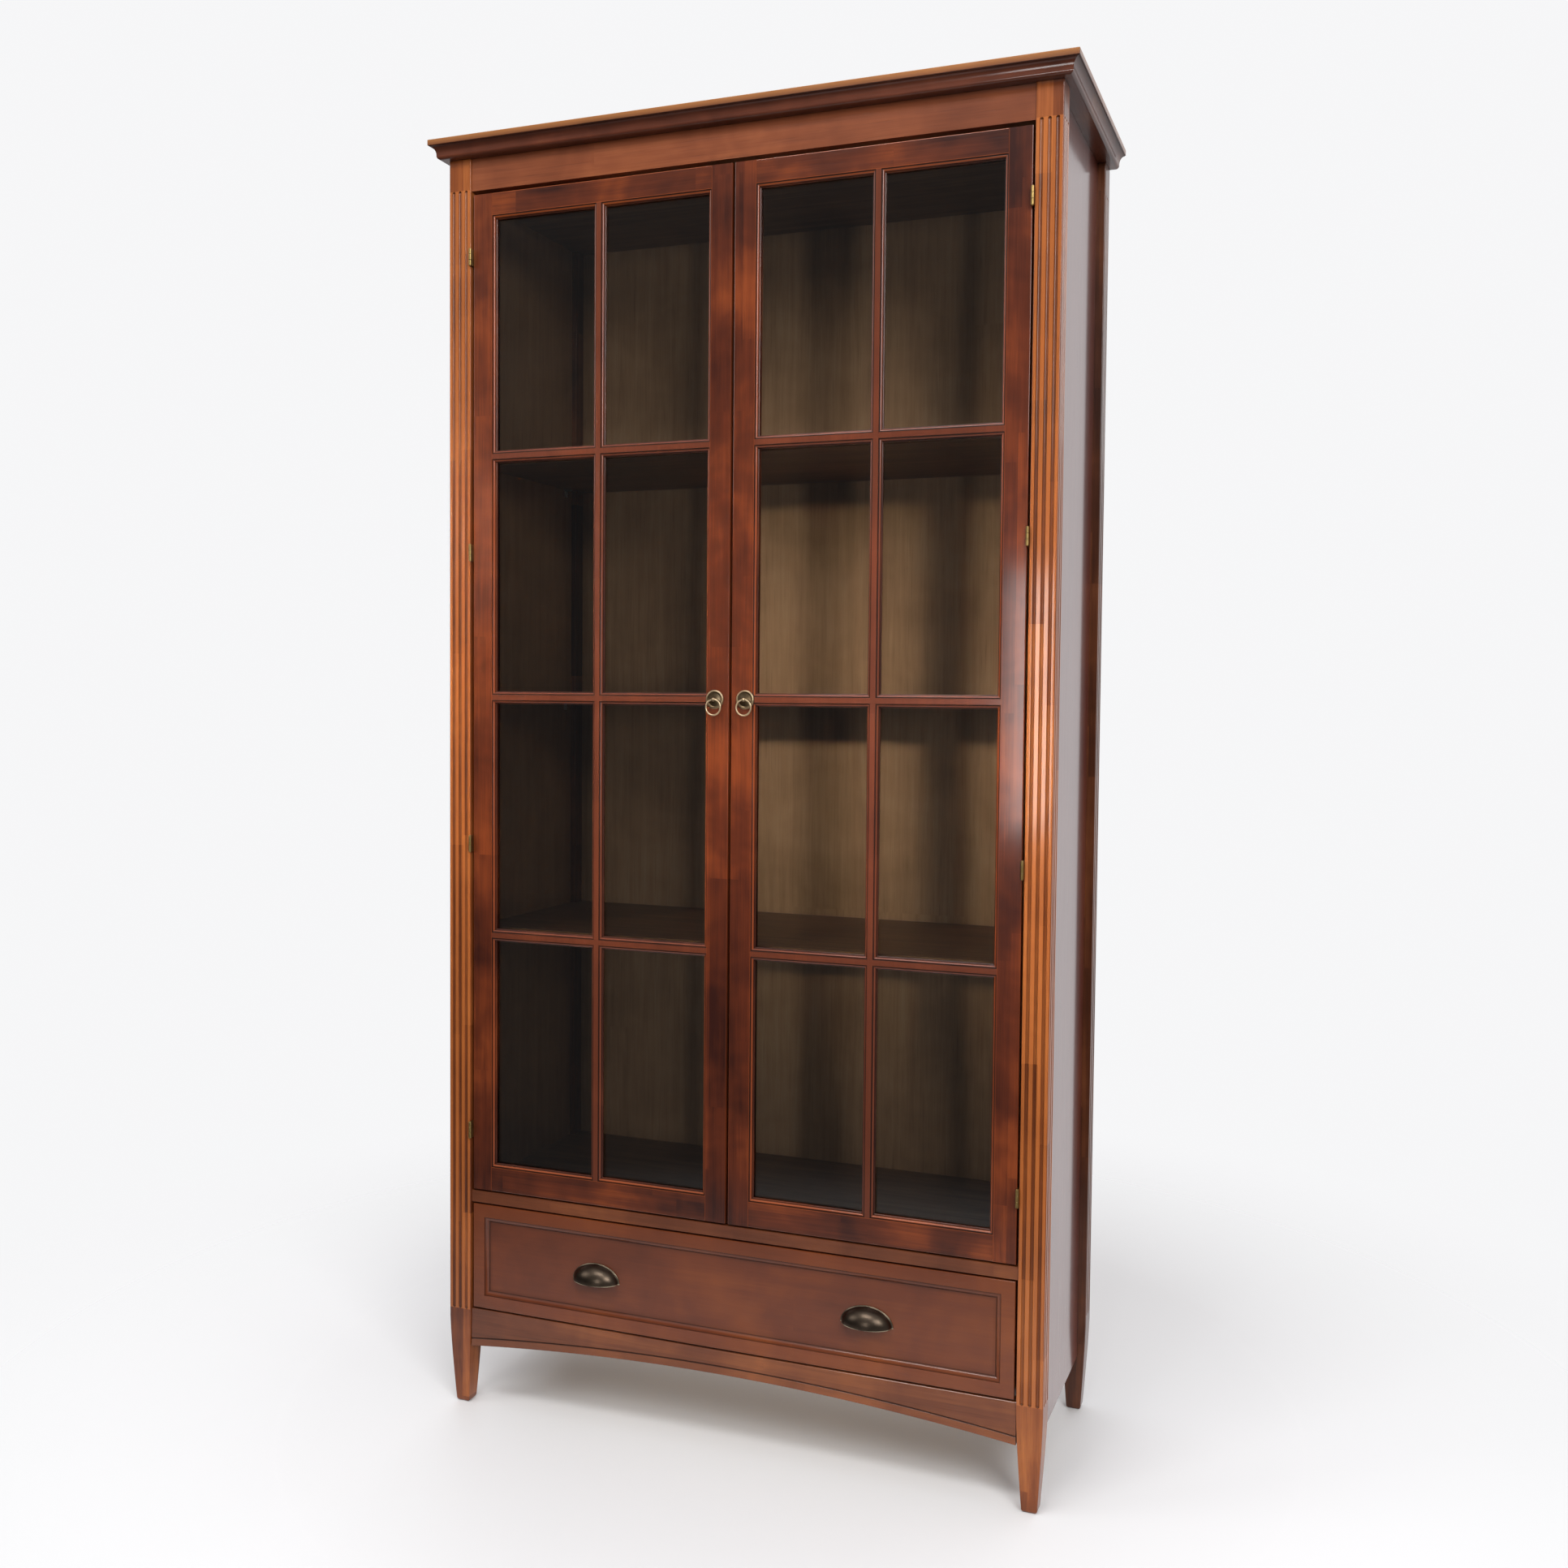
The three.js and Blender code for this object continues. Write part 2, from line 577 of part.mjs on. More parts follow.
// The front is one board with a flat sunk field inside a sloping moulding.
const mouldSlope = drawerMouldWidth / drawerPanelRecess;
const sunkField = new THREE.BoxGeometry(2, 2, 2);
const fieldCorners = sunkField.attributes.position;
for (let i = 0; i < fieldCorners.count; i += 1) {
  const atFace = fieldCorners.getY(i) < 0;
  const inset = drawerFrameWidth + (atFace ? -cutMargin * mouldSlope : drawerMouldWidth);
  fieldCorners.setXYZ(i,
    fieldCorners.getX(i) * (drawerFrontX - inset),
    atFace ? railFaceY - cutMargin : railFaceY + drawerPanelRecess,
    drawerCentreZ + fieldCorners.getZ(i) * (drawerFrontHeight / 2 - inset));
}
const drawerBoard = box(-drawerFrontX, drawerFrontX, railFaceY, drawerFrontBackY, drawerBottomZ, drawerTopZ);
addPart('drawer_front', drawerBoard.subtract(solid(sunkField)), doorWood);

const drawerSideOuterX = postInnerX - drawerSideClearance;
const drawerSideInnerX = drawerSideOuterX - drawerSideThickness;
const drawerSideBottomZ = drawerBottomZ + drawerSideBottomInset;
const drawerSideTopZ = drawerTopZ - drawerSideTopInset;
const drawerPlyBottomZ = drawerSideBottomZ + drawerBottomRise;
const drawerPlyTopZ = drawerPlyBottomZ + drawerBottomThickness;
const drawerBoxFrontY = drawerFrontBackY + seatGap;
const drawerBoxBackY = backPanelFrontY - drawerRearClearance;

for (const [side, sign] of sides) {
  const sideX = span(sign, drawerSideInnerX, drawerSideOuterX);
  const board = box(...sideX, drawerBoxFrontY, drawerBoxBackY, drawerSideBottomZ, drawerSideTopZ);
  const grooveX = span(sign, drawerSideInnerX - cutMargin, drawerSideInnerX + drawerGrooveDepth);
  const groove = box(...grooveX, drawerBoxFrontY - cutMargin, drawerBoxBackY + cutMargin,
    drawerPlyBottomZ - seatGap, drawerPlyTopZ + seatGap);
  addPart(`drawer_side_${side}`, board.subtract(groove), drawerWood);

  // A runner with a ledge under the drawer side and a guide beside it, screwed to the side panel.
  const ledgeTopZ = drawerSideBottomZ - slideGap;
  const runnerBottomZ = ledgeTopZ - runnerLedgeHeight;
  const runnerTopZ = runnerBottomZ + runnerHeight;
  const runnerX = sidePanelInnerX - seatGap;
  const guideX = drawerSideOuterX + slideGap;
  const ledgeX = drawerSideOuterX - runnerLedgeCover;
  const runnerOutline = [
    [runnerX, runnerBottomZ], [runnerX, runnerTopZ], [guideX, runnerTopZ],
    [guideX, ledgeTopZ], [ledgeX, ledgeTopZ], [ledgeX, runnerBottomZ]];
  addPart(`drawer_runner_${side}`, prismY(runnerOutline.map(([x, z]) => [sign * x, z]),
    postFaceY + postSize + seatGap, backY - postSize - seatGap), interiorWood);
}

const drawerBackX = drawerSideInnerX - seatGap;
addPart('drawer_back', box(-drawerBackX, drawerBackX, drawerBoxBackY - drawerSideThickness, drawerBoxBackY,
  drawerPlyTopZ + seatGap, drawerSideTopZ), drawerWood);
const drawerPlyX = drawerSideInnerX + drawerGrooveDepth - seatGap;
addPart('drawer_bottom', box(
  -drawerPlyX, drawerPlyX, drawerBoxFrontY, drawerBoxBackY, drawerPlyBottomZ, drawerPlyTopZ), plywood);

// ---------- Cup pulls ----------

// A thin half dome, open underneath, inside a narrow flat rim.
const cupBackY = railFaceY + drawerPanelRecess - seatGap;
const cupX = (doorInnerX + doorOuterX) / 2;
const cupBottomZ = drawerCentreZ + cupRaise - cupHeight / 2;
for (const [side, sign] of sides) {
  const x = sign * cupX;
  const dome = (inset) => solid(new THREE.SphereGeometry(1, 28, 16)
    .scale(cupWidth / 2 - inset, cupProjection - inset, cupHeight - inset)
    .translate(x, cupBackY, cupBottomZ));
  const flange = solid(new THREE.CylinderGeometry(1, 1, cupFlangeThickness, 28)
    .scale(cupWidth / 2, 1, cupHeight)
    .translate(x, cupBackY - cupFlangeThickness / 2, cupBottomZ));
  const upperHalf = box(x - cupWidth, x + cupWidth, cupBackY - 2 * cupProjection, cupBackY,
    cupBottomZ, cupBottomZ + 2 * cupHeight);
  const shell = dome(cupFlangeWidth - cupWall).add(flange).subtract(dome(cupFlangeWidth));
  addPart(`cup_pull_${side}`, shell.intersect(upperHalf), agedBrass);
}

export default cabinet;
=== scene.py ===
"""A tall glazed china cabinet in stained hardwood: two doors of eight panes over one long drawer."""
import math

import bmesh
import bpy
from mathutils import Matrix, Vector


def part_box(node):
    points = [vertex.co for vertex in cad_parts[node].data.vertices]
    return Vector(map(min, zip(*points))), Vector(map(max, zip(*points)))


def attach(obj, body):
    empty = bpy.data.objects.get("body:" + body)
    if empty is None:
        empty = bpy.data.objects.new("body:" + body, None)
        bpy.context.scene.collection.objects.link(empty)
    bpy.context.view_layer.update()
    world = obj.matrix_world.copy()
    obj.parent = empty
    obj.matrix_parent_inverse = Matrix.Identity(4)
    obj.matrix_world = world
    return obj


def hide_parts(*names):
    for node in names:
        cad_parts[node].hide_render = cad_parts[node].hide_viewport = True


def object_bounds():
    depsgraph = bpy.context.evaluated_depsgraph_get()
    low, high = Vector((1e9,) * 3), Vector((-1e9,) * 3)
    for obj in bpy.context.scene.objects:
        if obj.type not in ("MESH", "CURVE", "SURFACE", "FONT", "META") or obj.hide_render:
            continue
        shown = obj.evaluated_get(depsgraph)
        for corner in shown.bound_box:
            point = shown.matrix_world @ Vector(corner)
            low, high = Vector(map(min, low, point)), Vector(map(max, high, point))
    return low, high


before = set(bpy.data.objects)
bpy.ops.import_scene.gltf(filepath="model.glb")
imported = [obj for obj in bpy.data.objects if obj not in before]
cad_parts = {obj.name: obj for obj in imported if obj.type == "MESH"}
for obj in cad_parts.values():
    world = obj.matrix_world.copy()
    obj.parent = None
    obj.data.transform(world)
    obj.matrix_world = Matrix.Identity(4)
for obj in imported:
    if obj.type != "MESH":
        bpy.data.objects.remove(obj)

cad_low, cad_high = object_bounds()
mm = 0.001

# ---------- Studio ----------
# A pale painted floor that fades into a pale surround, soft boxes on each side and above, a strip that
# puts a sheen on the door, and a far lamp that reaches in over the shelves. The camera is chest high.


class Wire:
    """A shader socket that can be used in sums: each operation adds the Math node that does it."""

    def __init__(self, finish, socket):
        self.finish = finish
        self.socket = socket

    def sum_with(self, operation, first, second):
        return self.finish.node("ShaderNodeMath", {"operation": operation}, {0: first, 1: second})[0]

    def __add__(self, other):
        return self.sum_with("ADD", self, other)

    def __radd__(self, other):
        return self.sum_with("ADD", other, self)

    def __sub__(self, other):
        return self.sum_with("SUBTRACT", self, other)

    def __rsub__(self, other):
        return self.sum_with("SUBTRACT", other, self)

    def __mul__(self, other):
        return self.sum_with("MULTIPLY", self, other)

    def __rmul__(self, other):
        return self.sum_with("MULTIPLY", other, self)

    def __truediv__(self, other):
        return self.sum_with("DIVIDE", self, other)

    def __pow__(self, other):
        return self.sum_with("POWER", self, other)

    def __gt__(self, other):
        return self.sum_with("GREATER_THAN", self, other)


class Finish:
    """A node tree, for a material or the surround, with one method that adds any node to it."""

    def __init__(self, name, owner=None):
        self.owner = owner or bpy.data.materials.new(name)
        self.owner.use_nodes = True
        self.tree = self.owner.node_tree
        self.tree.nodes.clear()

    def node(self, kind, settings=None, inputs=None):
        node = self.tree.nodes.new(kind)
        for key, value in (settings or {}).items():
            if key == "stops":
                ramp = node.color_ramp
                while len(ramp.elements) < len(value):
                    ramp.elements.new(0.5)
                for element, (place, colour) in zip(ramp.elements, value):
                    element.position = place
                    element.color = (*colour, 1)
            else:
                setattr(node, key, value)
        for key, value in (inputs or {}).items():
            if isinstance(value, Wire):
                self.tree.links.new(value.socket, node.inputs[key])
            elif isinstance(value, tuple) and node.inputs[key].type == "RGBA":
                node.inputs[key].default_value = (*value, 1)
            else:
                node.inputs[key].default_value = value
        return [Wire(self, socket) for socket in node.outputs]

    def mixed(self, factor, first, second):
        return self.node(
            "ShaderNodeMix", {"data_type": "RGBA"}, {0: factor, 6: first, 7: second})[2]

    def noise(self, place, scale, detail=3.0, roughness=0.55, distortion=0.0):
        return self.node("ShaderNodeTexNoise", {}, {
            "Vector": place, "Scale": scale, "Detail": detail, "Roughness": roughness,
            "Distortion": distortion})[0]

    def clamped(self, value, low=0.0, high=1.0):
        return self.node("ShaderNodeClamp", {}, {0: value, 1: low, 2: high})[0]


def paint(red, green, blue):
    """A colour as it looks, from 0 to 255, in the linear values that shaders take."""
    return tuple(((c / 255 + 0.055) / 1.055) ** 2.4 if c > 10 else c / 255 / 12.92
                 for c in (red, green, blue))


floor_half = 9.0
floor_mesh = bpy.data.meshes.new("floor")
floor_corners = [(x * floor_half, y * floor_half, 0) for x, y in ((-1, -1), (1, -1), (1, 1), (-1, 1))]
floor_mesh.from_pydata(floor_corners, [], [(0, 1, 2, 3)])
floor = bpy.data.objects.new("floor", floor_mesh)
bpy.context.scene.collection.objects.link(floor)

floor_paint = Finish("floor_paint")
floor_place = floor_paint.node("ShaderNodeTexCoord")[3]
floor_away = floor_paint.node(
    "ShaderNodeVectorMath", {"operation": "DISTANCE"}, {0: floor_place, 1: (0, 0.1, 0)})[1]
floor_shown = floor_paint.clamped(1.9 - floor_away / 0.9) ** 1.5
floor_patches = floor_paint.noise(floor_place, 3.0)
# The floor is painted lighter further from the cabinet, making up for the lamps' light falling off there.
floor_painted_light = floor_paint.clamped(floor_away * 0.8 - 0.65 + floor_patches * 0.1)
floor_colour = floor_paint.mixed(floor_painted_light, (0.76, 0.76, 0.765), (0.86, 0.865, 0.87))
floor_solid = floor_paint.node("ShaderNodeBsdfPrincipled", {}, {
    "Base Color": floor_colour, "Roughness": 0.42 + floor_patches * 0.1, "Specular IOR Level": 0.3})[0]
floor_clear = floor_paint.node("ShaderNodeBsdfTransparent")[0]
floor_blend = floor_paint.node(
    "ShaderNodeMixShader", {}, {0: floor_shown, 1: floor_clear, 2: floor_solid})[0]
floor_paint.node("ShaderNodeOutputMaterial", {}, {0: floor_blend})
floor.data.materials.append(floor_paint.owner)

surround_seen = (0.925, 0.925, 0.935)
surround_light = (0.885, 0.875, 0.89)
world = bpy.data.worlds.new("surround")
bpy.context.scene.world = world
surround = Finish("surround", world)
towards = surround.node("ShaderNodeTexCoord")[0]
across, towards_back, upward = surround.node("ShaderNodeSeparateXYZ", {}, {0: towards})
glow = (0.08 + surround.clamped(towards_back) * 0.85 + surround.clamped(upward) ** 3 * 1.3
        + surround.clamped(across) ** 3 * 0.42)
lit = surround.node("ShaderNodeVectorMath", {"operation": "SCALE"}, {0: surround_light, 3: glow})[0]
camera_ray = surround.node("ShaderNodeLightPath")[0]
shown = surround.mixed(camera_ray, lit, surround_seen)
surround.node("ShaderNodeOutputWorld", {}, {0: surround.node("ShaderNodeBackground", {}, {0: shown})[0]})


def lamp(name, kind, place, target, power, **settings):
    data = bpy.data.lights.new(name, kind)
    data.energy = power
    for key, value in settings.items():
        setattr(data, key, value)
    light = bpy.data.objects.new(name, data)
    light.location = place
    light.rotation_euler = (Vector(target) - Vector(place)).to_track_quat("-Z", "Y").to_euler()
    bpy.context.scene.collection.objects.link(light)
    return light


lamp("soft_box_right", "AREA", (2.4, -2.9, 2.8), (0, 0, 1.0), 100,
     shape="RECTANGLE", size=1.6, size_y=1.6)
lamp("soft_box_left", "AREA", (-3.6, -2.4, 2.7), (0, 0, 1.0), 36,
     shape="RECTANGLE", size=1.6, size_y=1.6)
lamp("soft_box_above", "AREA", (-0.2, -2.2, 3.8), (0, -0.17, 1.75), 62,
     shape="RECTANGLE", size=1.8, size_y=0.8)
lamp("sheen_strip", "AREA", (-0.25, -4.0, 1.12), (0.45, -0.17, 1.1), 17,
     shape="RECTANGLE", size=0.35, size_y=1.0)
far_window = lamp("far_window", "AREA", (-3.66, -5.6, 2.09), (0.1, 0.19, 1.10), 4.0,
                  shape="RECTANGLE", size=2.4, size_y=0.3, spread=math.radians(10.5),
                  color=(1.0, 0.90, 0.76))
far_window.visible_glossy = False

camera_place = (0.87368, -2.23272, 1.12678)
camera_yaw, camera_pitch, camera_roll = 20.8566, -2.4372, 0.5096
camera_data = bpy.data.cameras.new("camera")
camera_data.sensor_width = 36
camera_data.lens = 35.134
camera_data.shift_x = -0.00152
camera_data.shift_y = -0.01272
camera = bpy.data.objects.new("camera", camera_data)
camera.matrix_world = (
    Matrix.Translation(camera_place)
    @ Matrix.Rotation(math.radians(camera_yaw), 4, "Z")
    @ Matrix.Rotation(math.radians(90 + camera_pitch), 4, "X")
    @ Matrix.Rotation(math.radians(camera_roll), 4, "Z"))
bpy.context.scene.collection.objects.link(camera)
bpy.context.scene.camera = camera
bpy.context.scene.view_settings.view_transform = "Standard"

# ---------- Posts ----------
# Four square hardwood posts with three stopped flutes on each outward face and a tapered leg below.
# The blanks are glued up from short staves, stained and lacquered; the flutes carry glaze and painted
# shade, darkest at their ends, and the faces between them a painted highlight.

sides = (("left", -1), ("right", 1))


def piece(name, points, faces, finish, body, replaced=(), glaze=None, crease=38):
    """A closed mesh that rides on a body. The per-point values give dark glaze with painted shade above
    zero, and lighter wear with a painted highlight below zero.
    """
    mesh = bpy.data.meshes.new(name)
    mesh.from_pydata(points, [], faces)
    if glaze:
        mesh.attributes.new("glaze", "FLOAT", "POINT").data.foreach_set("value", glaze)
    work = bmesh.new()
    work.from_mesh(mesh)
    bmesh.ops.remove_doubles(work, verts=work.verts, dist=1e-6)
    bmesh.ops.recalc_face_normals(work, faces=work.faces)
    bmesh.ops.triangulate(work, faces=[face for face in work.faces if len(face.verts) > 4])
    for face in work.faces:
        face.smooth = True
    for edge in work.edges:
        edge.smooth = edge.calc_face_angle(0) < math.radians(crease)
    work.to_mesh(mesh)
    work.free()
    made = bpy.data.objects.new(name, mesh)
    bpy.context.scene.collection.objects.link(made)
    made.data.materials.append(finish)
    weighted = made.modifiers.new("even_faces", "WEIGHTED_NORMAL")
    weighted.keep_sharp = True
    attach(made, body)
    if replaced:
        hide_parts(*replaced)


def dressed(node, finish, arris=0.8 * mm):
    """A plain board from the frame, with its corners eased and its finish put on."""
    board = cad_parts[node]
    board.data.materials.clear()
    board.data.materials.append(finish)
    bevel = board.modifiers.new("arris", "BEVEL")
    bevel.width = arris
    bevel.segments = 3
    bevel.limit_method = "ANGLE"
    bevel.angle_limit = math.radians(50)
    bevel.harden_normals = True


def wood(name, grain, dark, middle, light, stave=(0.42, 0.041), stave_tint=0.5, blotch=0.55, streak=0.35,
         pore=0.25, roughness=0.36, coat=0.5, offset=0.0, lining=None):
    """Stained and lacquered wood whose grain runs along x, y or z, in glued staves (length, width)."""
    finish = Finish(name)
    place = finish.node("ShaderNodeTexCoord")[3]
    x, y, z = finish.node("ShaderNodeSeparateXYZ", {}, {0: place})
    along, across = {"x": (x, z + y), "y": (y, z + x), "z": (z, x + y)}[grain]
    along = along + offset

    row = finish.node("ShaderNodeMath", {"operation": "FLOOR"}, {0: across / stave[1] + 0.5})[0]
    shift = finish.node("ShaderNodeTexWhiteNoise", {"noise_dimensions": "1D"}, {"W": row + offset * 31})[0]
    cell = finish.node("ShaderNodeMath", {"operation": "FLOOR"}, {0: along / stave[0] + shift * 5})[0]
    cell_place = finish.node("ShaderNodeCombineXYZ", {}, {0: row, 1: cell, 2: 3.7 + offset})[0]
    tint = finish.node("ShaderNodeTexWhiteNoise", {"noise_dimensions": "3D"}, {"Vector": cell_place})[0]

    jump = finish.node("ShaderNodeCombineXYZ", {}, {0: tint * 9, 1: tint * 5, 2: shift * 7})[0]
    moved = finish.node("ShaderNodeVectorMath", {"operation": "ADD"}, {0: place, 1: jump})[0]

    def stretched(across_scale, along_scale, detail, distortion=0.0):
        scale = tuple(along_scale if axis == grain else across_scale for axis in "xyz")
        spot = finish.node("ShaderNodeVectorMath", {"operation": "MULTIPLY"}, {0: moved, 1: scale})[0]
        return finish.noise(spot, 1.0, detail, 0.6, distortion)

    streaks = stretched(75, 3.5, 4, 0.4)
    fine = stretched(420, 9, 3)
    pores = finish.clamped((stretched(520, 14, 2) - 0.58) * 5)
    blotches = finish.noise(place, 7.5, 3, 0.6, 0.3)
    clouds = finish.noise(place, 2.2, 2, 0.5)
    glaze = finish.node("ShaderNodeAttribute", {"attribute_name": "glaze"})[2]

    tone = (0.5 + (streaks - 0.5) * streak * 2 + (fine - 0.5) * streak + (blotches - 0.5) * blotch * 2.2
            + (clouds - 0.5) * blotch * 1.2 + (tint - 0.5) * stave_tint)
    stops = [(0.0, dark), (0.5, middle), (1.0, light)]
    colour = finish.node("ShaderNodeValToRGB", {"stops": stops}, {0: tone})[0]
    if lining:
        panel_face, panel_dark, panel_middle, panel_light = lining
        stops = [(0.0, panel_dark), (0.5, panel_middle), (1.0, panel_light)]
        inner = finish.node("ShaderNodeValToRGB", {"stops": stops}, {0: tone})[0]
        outside = finish.node("ShaderNodeMath", {"operation": "ABSOLUTE"}, {0: x})[0] > panel_face
        colour = finish.mixed(outside, inner, colour)
    colour = finish.mixed(pores * pore, colour, tuple(c * 0.25 for c in dark))
    # Above zero the colour mixes towards near black: glaze stain plus painted shade in hollows and quirks.
    # Below zero it mixes towards a lighter tone: wear plus painted highlights on rounds and arrises.
    colour = finish.mixed(finish.clamped(glaze) * 0.85, colour, (0.012, 0.006, 0.004))
    colour = finish.mixed(finish.clamped(0.0 - glaze), colour, tuple(min(1, c * 1.5) for c in light))
    height = fine * 0.5 + streaks * 0.3 - pores * 0.8
    bump = finish.node("ShaderNodeBump", {}, {"Strength": 0.22, "Distance": 0.0004, "Height": height})[0]
    surface = finish.node("ShaderNodeBsdfPrincipled", {}, {
        "Base Color": colour,
        "Roughness": finish.clamped(roughness + (fine - 0.5) * 0.12 + glaze * 0.1, 0.05, 1),
        "Coat Weight": coat * (1.0 - finish.clamped(glaze)),
        "Coat Roughness": 0.1, "Specular IOR Level": 0.15, "Normal": bump})[0]
    finish.node("ShaderNodeOutputMaterial", {}, {0: surface})
    return finish.owner


post_wood = wood("post_wood", "z", paint(84, 38, 16), paint(128, 66, 29), paint(168, 98, 48),
                 stave=(0.30, 0.038), blotch=0.5, streak=0.45)
# The rear posts take a darker copy of the post wood: a painted shade.
post_wood_shaded_rear = wood("post_wood_shaded_rear", "z", paint(44, 21, 13), paint(76, 40, 23), paint(116, 66, 38),
                      stave=(0.30, 0.038), blotch=0.5, streak=0.45, offset=0.6)
door_wood_upright = wood("door_wood_upright", "z", paint(46, 18, 11), paint(84, 36, 18), paint(126, 59, 27),
                         stave=(0.34, 0.045), stave_tint=0.3, blotch=0.85)
door_wood_level = wood("door_wood_level", "x", paint(46, 19, 12), paint(86, 38, 19), paint(134, 64, 27),
                       stave=(0.30, 0.045), stave_tint=0.25, blotch=0.85, offset=0.37)
case_wood_level = wood("case_wood_level", "x", paint(72, 35, 19), paint(102, 54, 30), paint(140, 80, 42),
                       stave=(0.7, 0.07), stave_tint=0.2, streak=0.25)

flute_count = 3
flute_pitch = 11 * mm
flute_half = 2.7 * mm
flute_depth = 2.2 * mm
glaze_and_shade_depth = 0.3 * mm
flute_radius = (flute_half ** 2 + flute_depth ** 2) / (2 * flute_depth)
flute_bottom, flute_top = 154 * mm, 1904.5 * mm
leg_taper = 140 * mm
foot_share = 22 / 38
post_arris = 1.5 * mm
foot_arris = 5 * mm


def flute_sink(along, z):
    """How deep the flutes are at a place on a post's face: a round-nosed cut with ball ends."""
    low, high = flute_bottom + flute_half, flute_top - flute_half
    past = max(low - z, 0, z - high)
    reach = min(abs(along - (i - (flute_count - 1) / 2) * flute_pitch) for i in range(flute_count))
    inside = flute_radius ** 2 - reach ** 2 - past ** 2
    return max(math.sqrt(inside) - (flute_radius - flute_depth), 0) if inside > 0 else 0


def post_outline(half, fluted):
    """Points round a square post as (x, y, inward normal, place along a fluted face or None)."""
    ring = []
    for number in range(4):
        angle = number * math.pi / 2
        cos, sin = round(math.cos(angle)), round(math.sin(angle))

        def spun(u, v):
            return (u * cos - v * sin, u * sin + v * cos)

        stops = [-half + post_arris]
        if number in fluted:
            for i in range(flute_count):
                centre = (i - (flute_count - 1) / 2) * flute_pitch
                stops += [centre + flute_half * math.sin(math.pi / 2 * step / 6) for step in range(-6, 7)]
        stops.append(half - post_arris)
        for stop in stops:
            ring.append((*spun(stop, -half), spun(0, 1), stop if number in fluted else None))
        corner = half - post_arris
        for step in (1, 2):
            turn = math.pi / 2 * step / 3
            ring.append((*spun(corner + post_arris * math.sin(turn), -corner - post_arris * math.cos(turn)),
                         (0, 0), None))
    return ring


def post(name, fluted, finish):
    low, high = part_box(name)
    centre = (low + high) / 2
    half = (high.x - low.x) / 2
    ends = [flute_half * (1 - math.cos(math.pi / 2 * step / 6)) for step in range(1, 7)]
    levels = [foot_arris * (1 - math.cos(math.pi / 2 * step / 4)) for step in range(5)]
    levels += [leg_taper * share for share in (0.12, 0.25, 0.4, 0.55, 0.7, 0.85, 1.0)]
    levels += [flute_bottom] + [flute_bottom + end for end in ends]
    levels += [flute_top - end for end in reversed(ends)] + [flute_top, high.z]
    ring = post_outline(half, fluted)
    points, glaze = [], []
    for z in levels:
        narrowing = max(1 - z / leg_taper, 0) ** 1.3
        rounding = foot_arris - math.sqrt(foot_arris ** 2 - max(foot_arris - z, 0) ** 2)
        scale = 1 - (1 - foot_share) * narrowing - 0.8 * rounding / half
        for x, y, inward, along in ring:
            sink = flute_sink(along, z) if along is not None else 0
            points.append((centre.x + x * scale + inward[0] * sink,
                           centre.y + y * scale + inward[1] * sink, z))
            # Points down in a flute take glaze and painted shade, more at the ball ends; the flats between
            # the flutes take a painted highlight.
            if sink > glaze_and_shade_depth:
                at_end = z > flute_top - flute_half or z < flute_bottom + flute_half
                glaze.append(0.32 * (sink / flute_depth) ** 1.2 + (0.5 if at_end else 0))
            else:
                glaze.append(-0.35 if along is not None and flute_bottom < z < flute_top else 0)
    count = len(ring)
    faces = [(level * count + i, level * count + (i + 1) % count,
              (level + 1) * count + (i + 1) % count, (level + 1) * count + i)
             for level in range(len(levels) - 1) for i in range(count)]
    faces += [tuple(range(count)), tuple(range((len(levels) - 1) * count, len(levels) * count))]
    return piece(name + "_fluted", points, faces, finish, "root", [name], glaze)


for side, sign in sides:
    outward = 1 if sign > 0 else 3
    post(f"post_front_{side}", (0, outward), post_wood)
    post(f"post_rear_{side}", (outward,), post_wood_shaded_rear)

# ---------- Side panels ----------
# A veneered board stands in a groove between the posts on each side: stained and lacquered outside,
# thinly stained inside like the rest of the display space.

inside_dark, inside_middle, inside_light = paint(108, 78, 54), paint(148, 114, 84), paint(174, 140, 108)
panel_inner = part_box("side_panel_right")[0].x
veneer_side = wood("veneer_side", "z", paint(74, 36, 30), paint(98, 49, 40), paint(118, 64, 50),
                   stave=(3.0, 0.16), stave_tint=0.15, blotch=0.25, streak=0.2, roughness=0.3, coat=0.9,
                   lining=(panel_inner + 1 * mm, inside_dark, inside_middle, inside_light))
inside_wood = wood("inside_wood", "z", inside_dark, inside_middle, inside_light,
                   stave=(3.0, 0.30), stave_tint=0.06, blotch=0.3, streak=0.28, pore=0.25,
                   roughness=0.5, coat=0.1)
inside_level = wood("inside_level", "x", paint(84, 60, 44), paint(116, 86, 64), paint(144, 112, 84),
                    stave=(3.0, 0.2), stave_tint=0.15, blotch=0.2, streak=0.45, pore=0.5,
                    roughness=0.45, coat=0.15)

for side, sign in sides:
    dressed(f"side_panel_{side}", veneer_side, 0.4 * mm)

# ---------- Crown ----------
# The cornice is one moulding mitred round the front and sides: square lip, wide cove and round foot.
# A flat board fills the top behind it.

soffit_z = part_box("cornice_front")[0].z
post_face_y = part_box("post_front_left")[0].y
case_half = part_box("post_front_right")[1].x
crown_back = cad_high.y
mitre_gap = 0.1 * mm


def arc(across, depth, radius, start, stop, steps):
    """Points on a round stretch of a section, from one angle to another in degrees."""
    turns = [math.radians(start + (stop - start) * step / steps) for step in range(steps + 1)]
    return [(across + radius * math.cos(turn), depth + radius * math.sin(turn), 0) for turn in turns]


def moulded(section, ends, place):
    """A length of moulding. Each section point (across, depth, glaze and painted light) ends where the
    joints say.
    """
    count = len(section)
    points = [place(across, depth, ends(across, depth)[end])
              for end in (0, 1) for across, depth, shade in section]
    faces = [(i, (i + 1) % count, count + (i + 1) % count, count + i) for i in range(count)]
    faces += [tuple(range(count)), tuple(range(count, 2 * count))]
    return points, faces, [shade for end in (0, 1) for across, depth, shade in section]
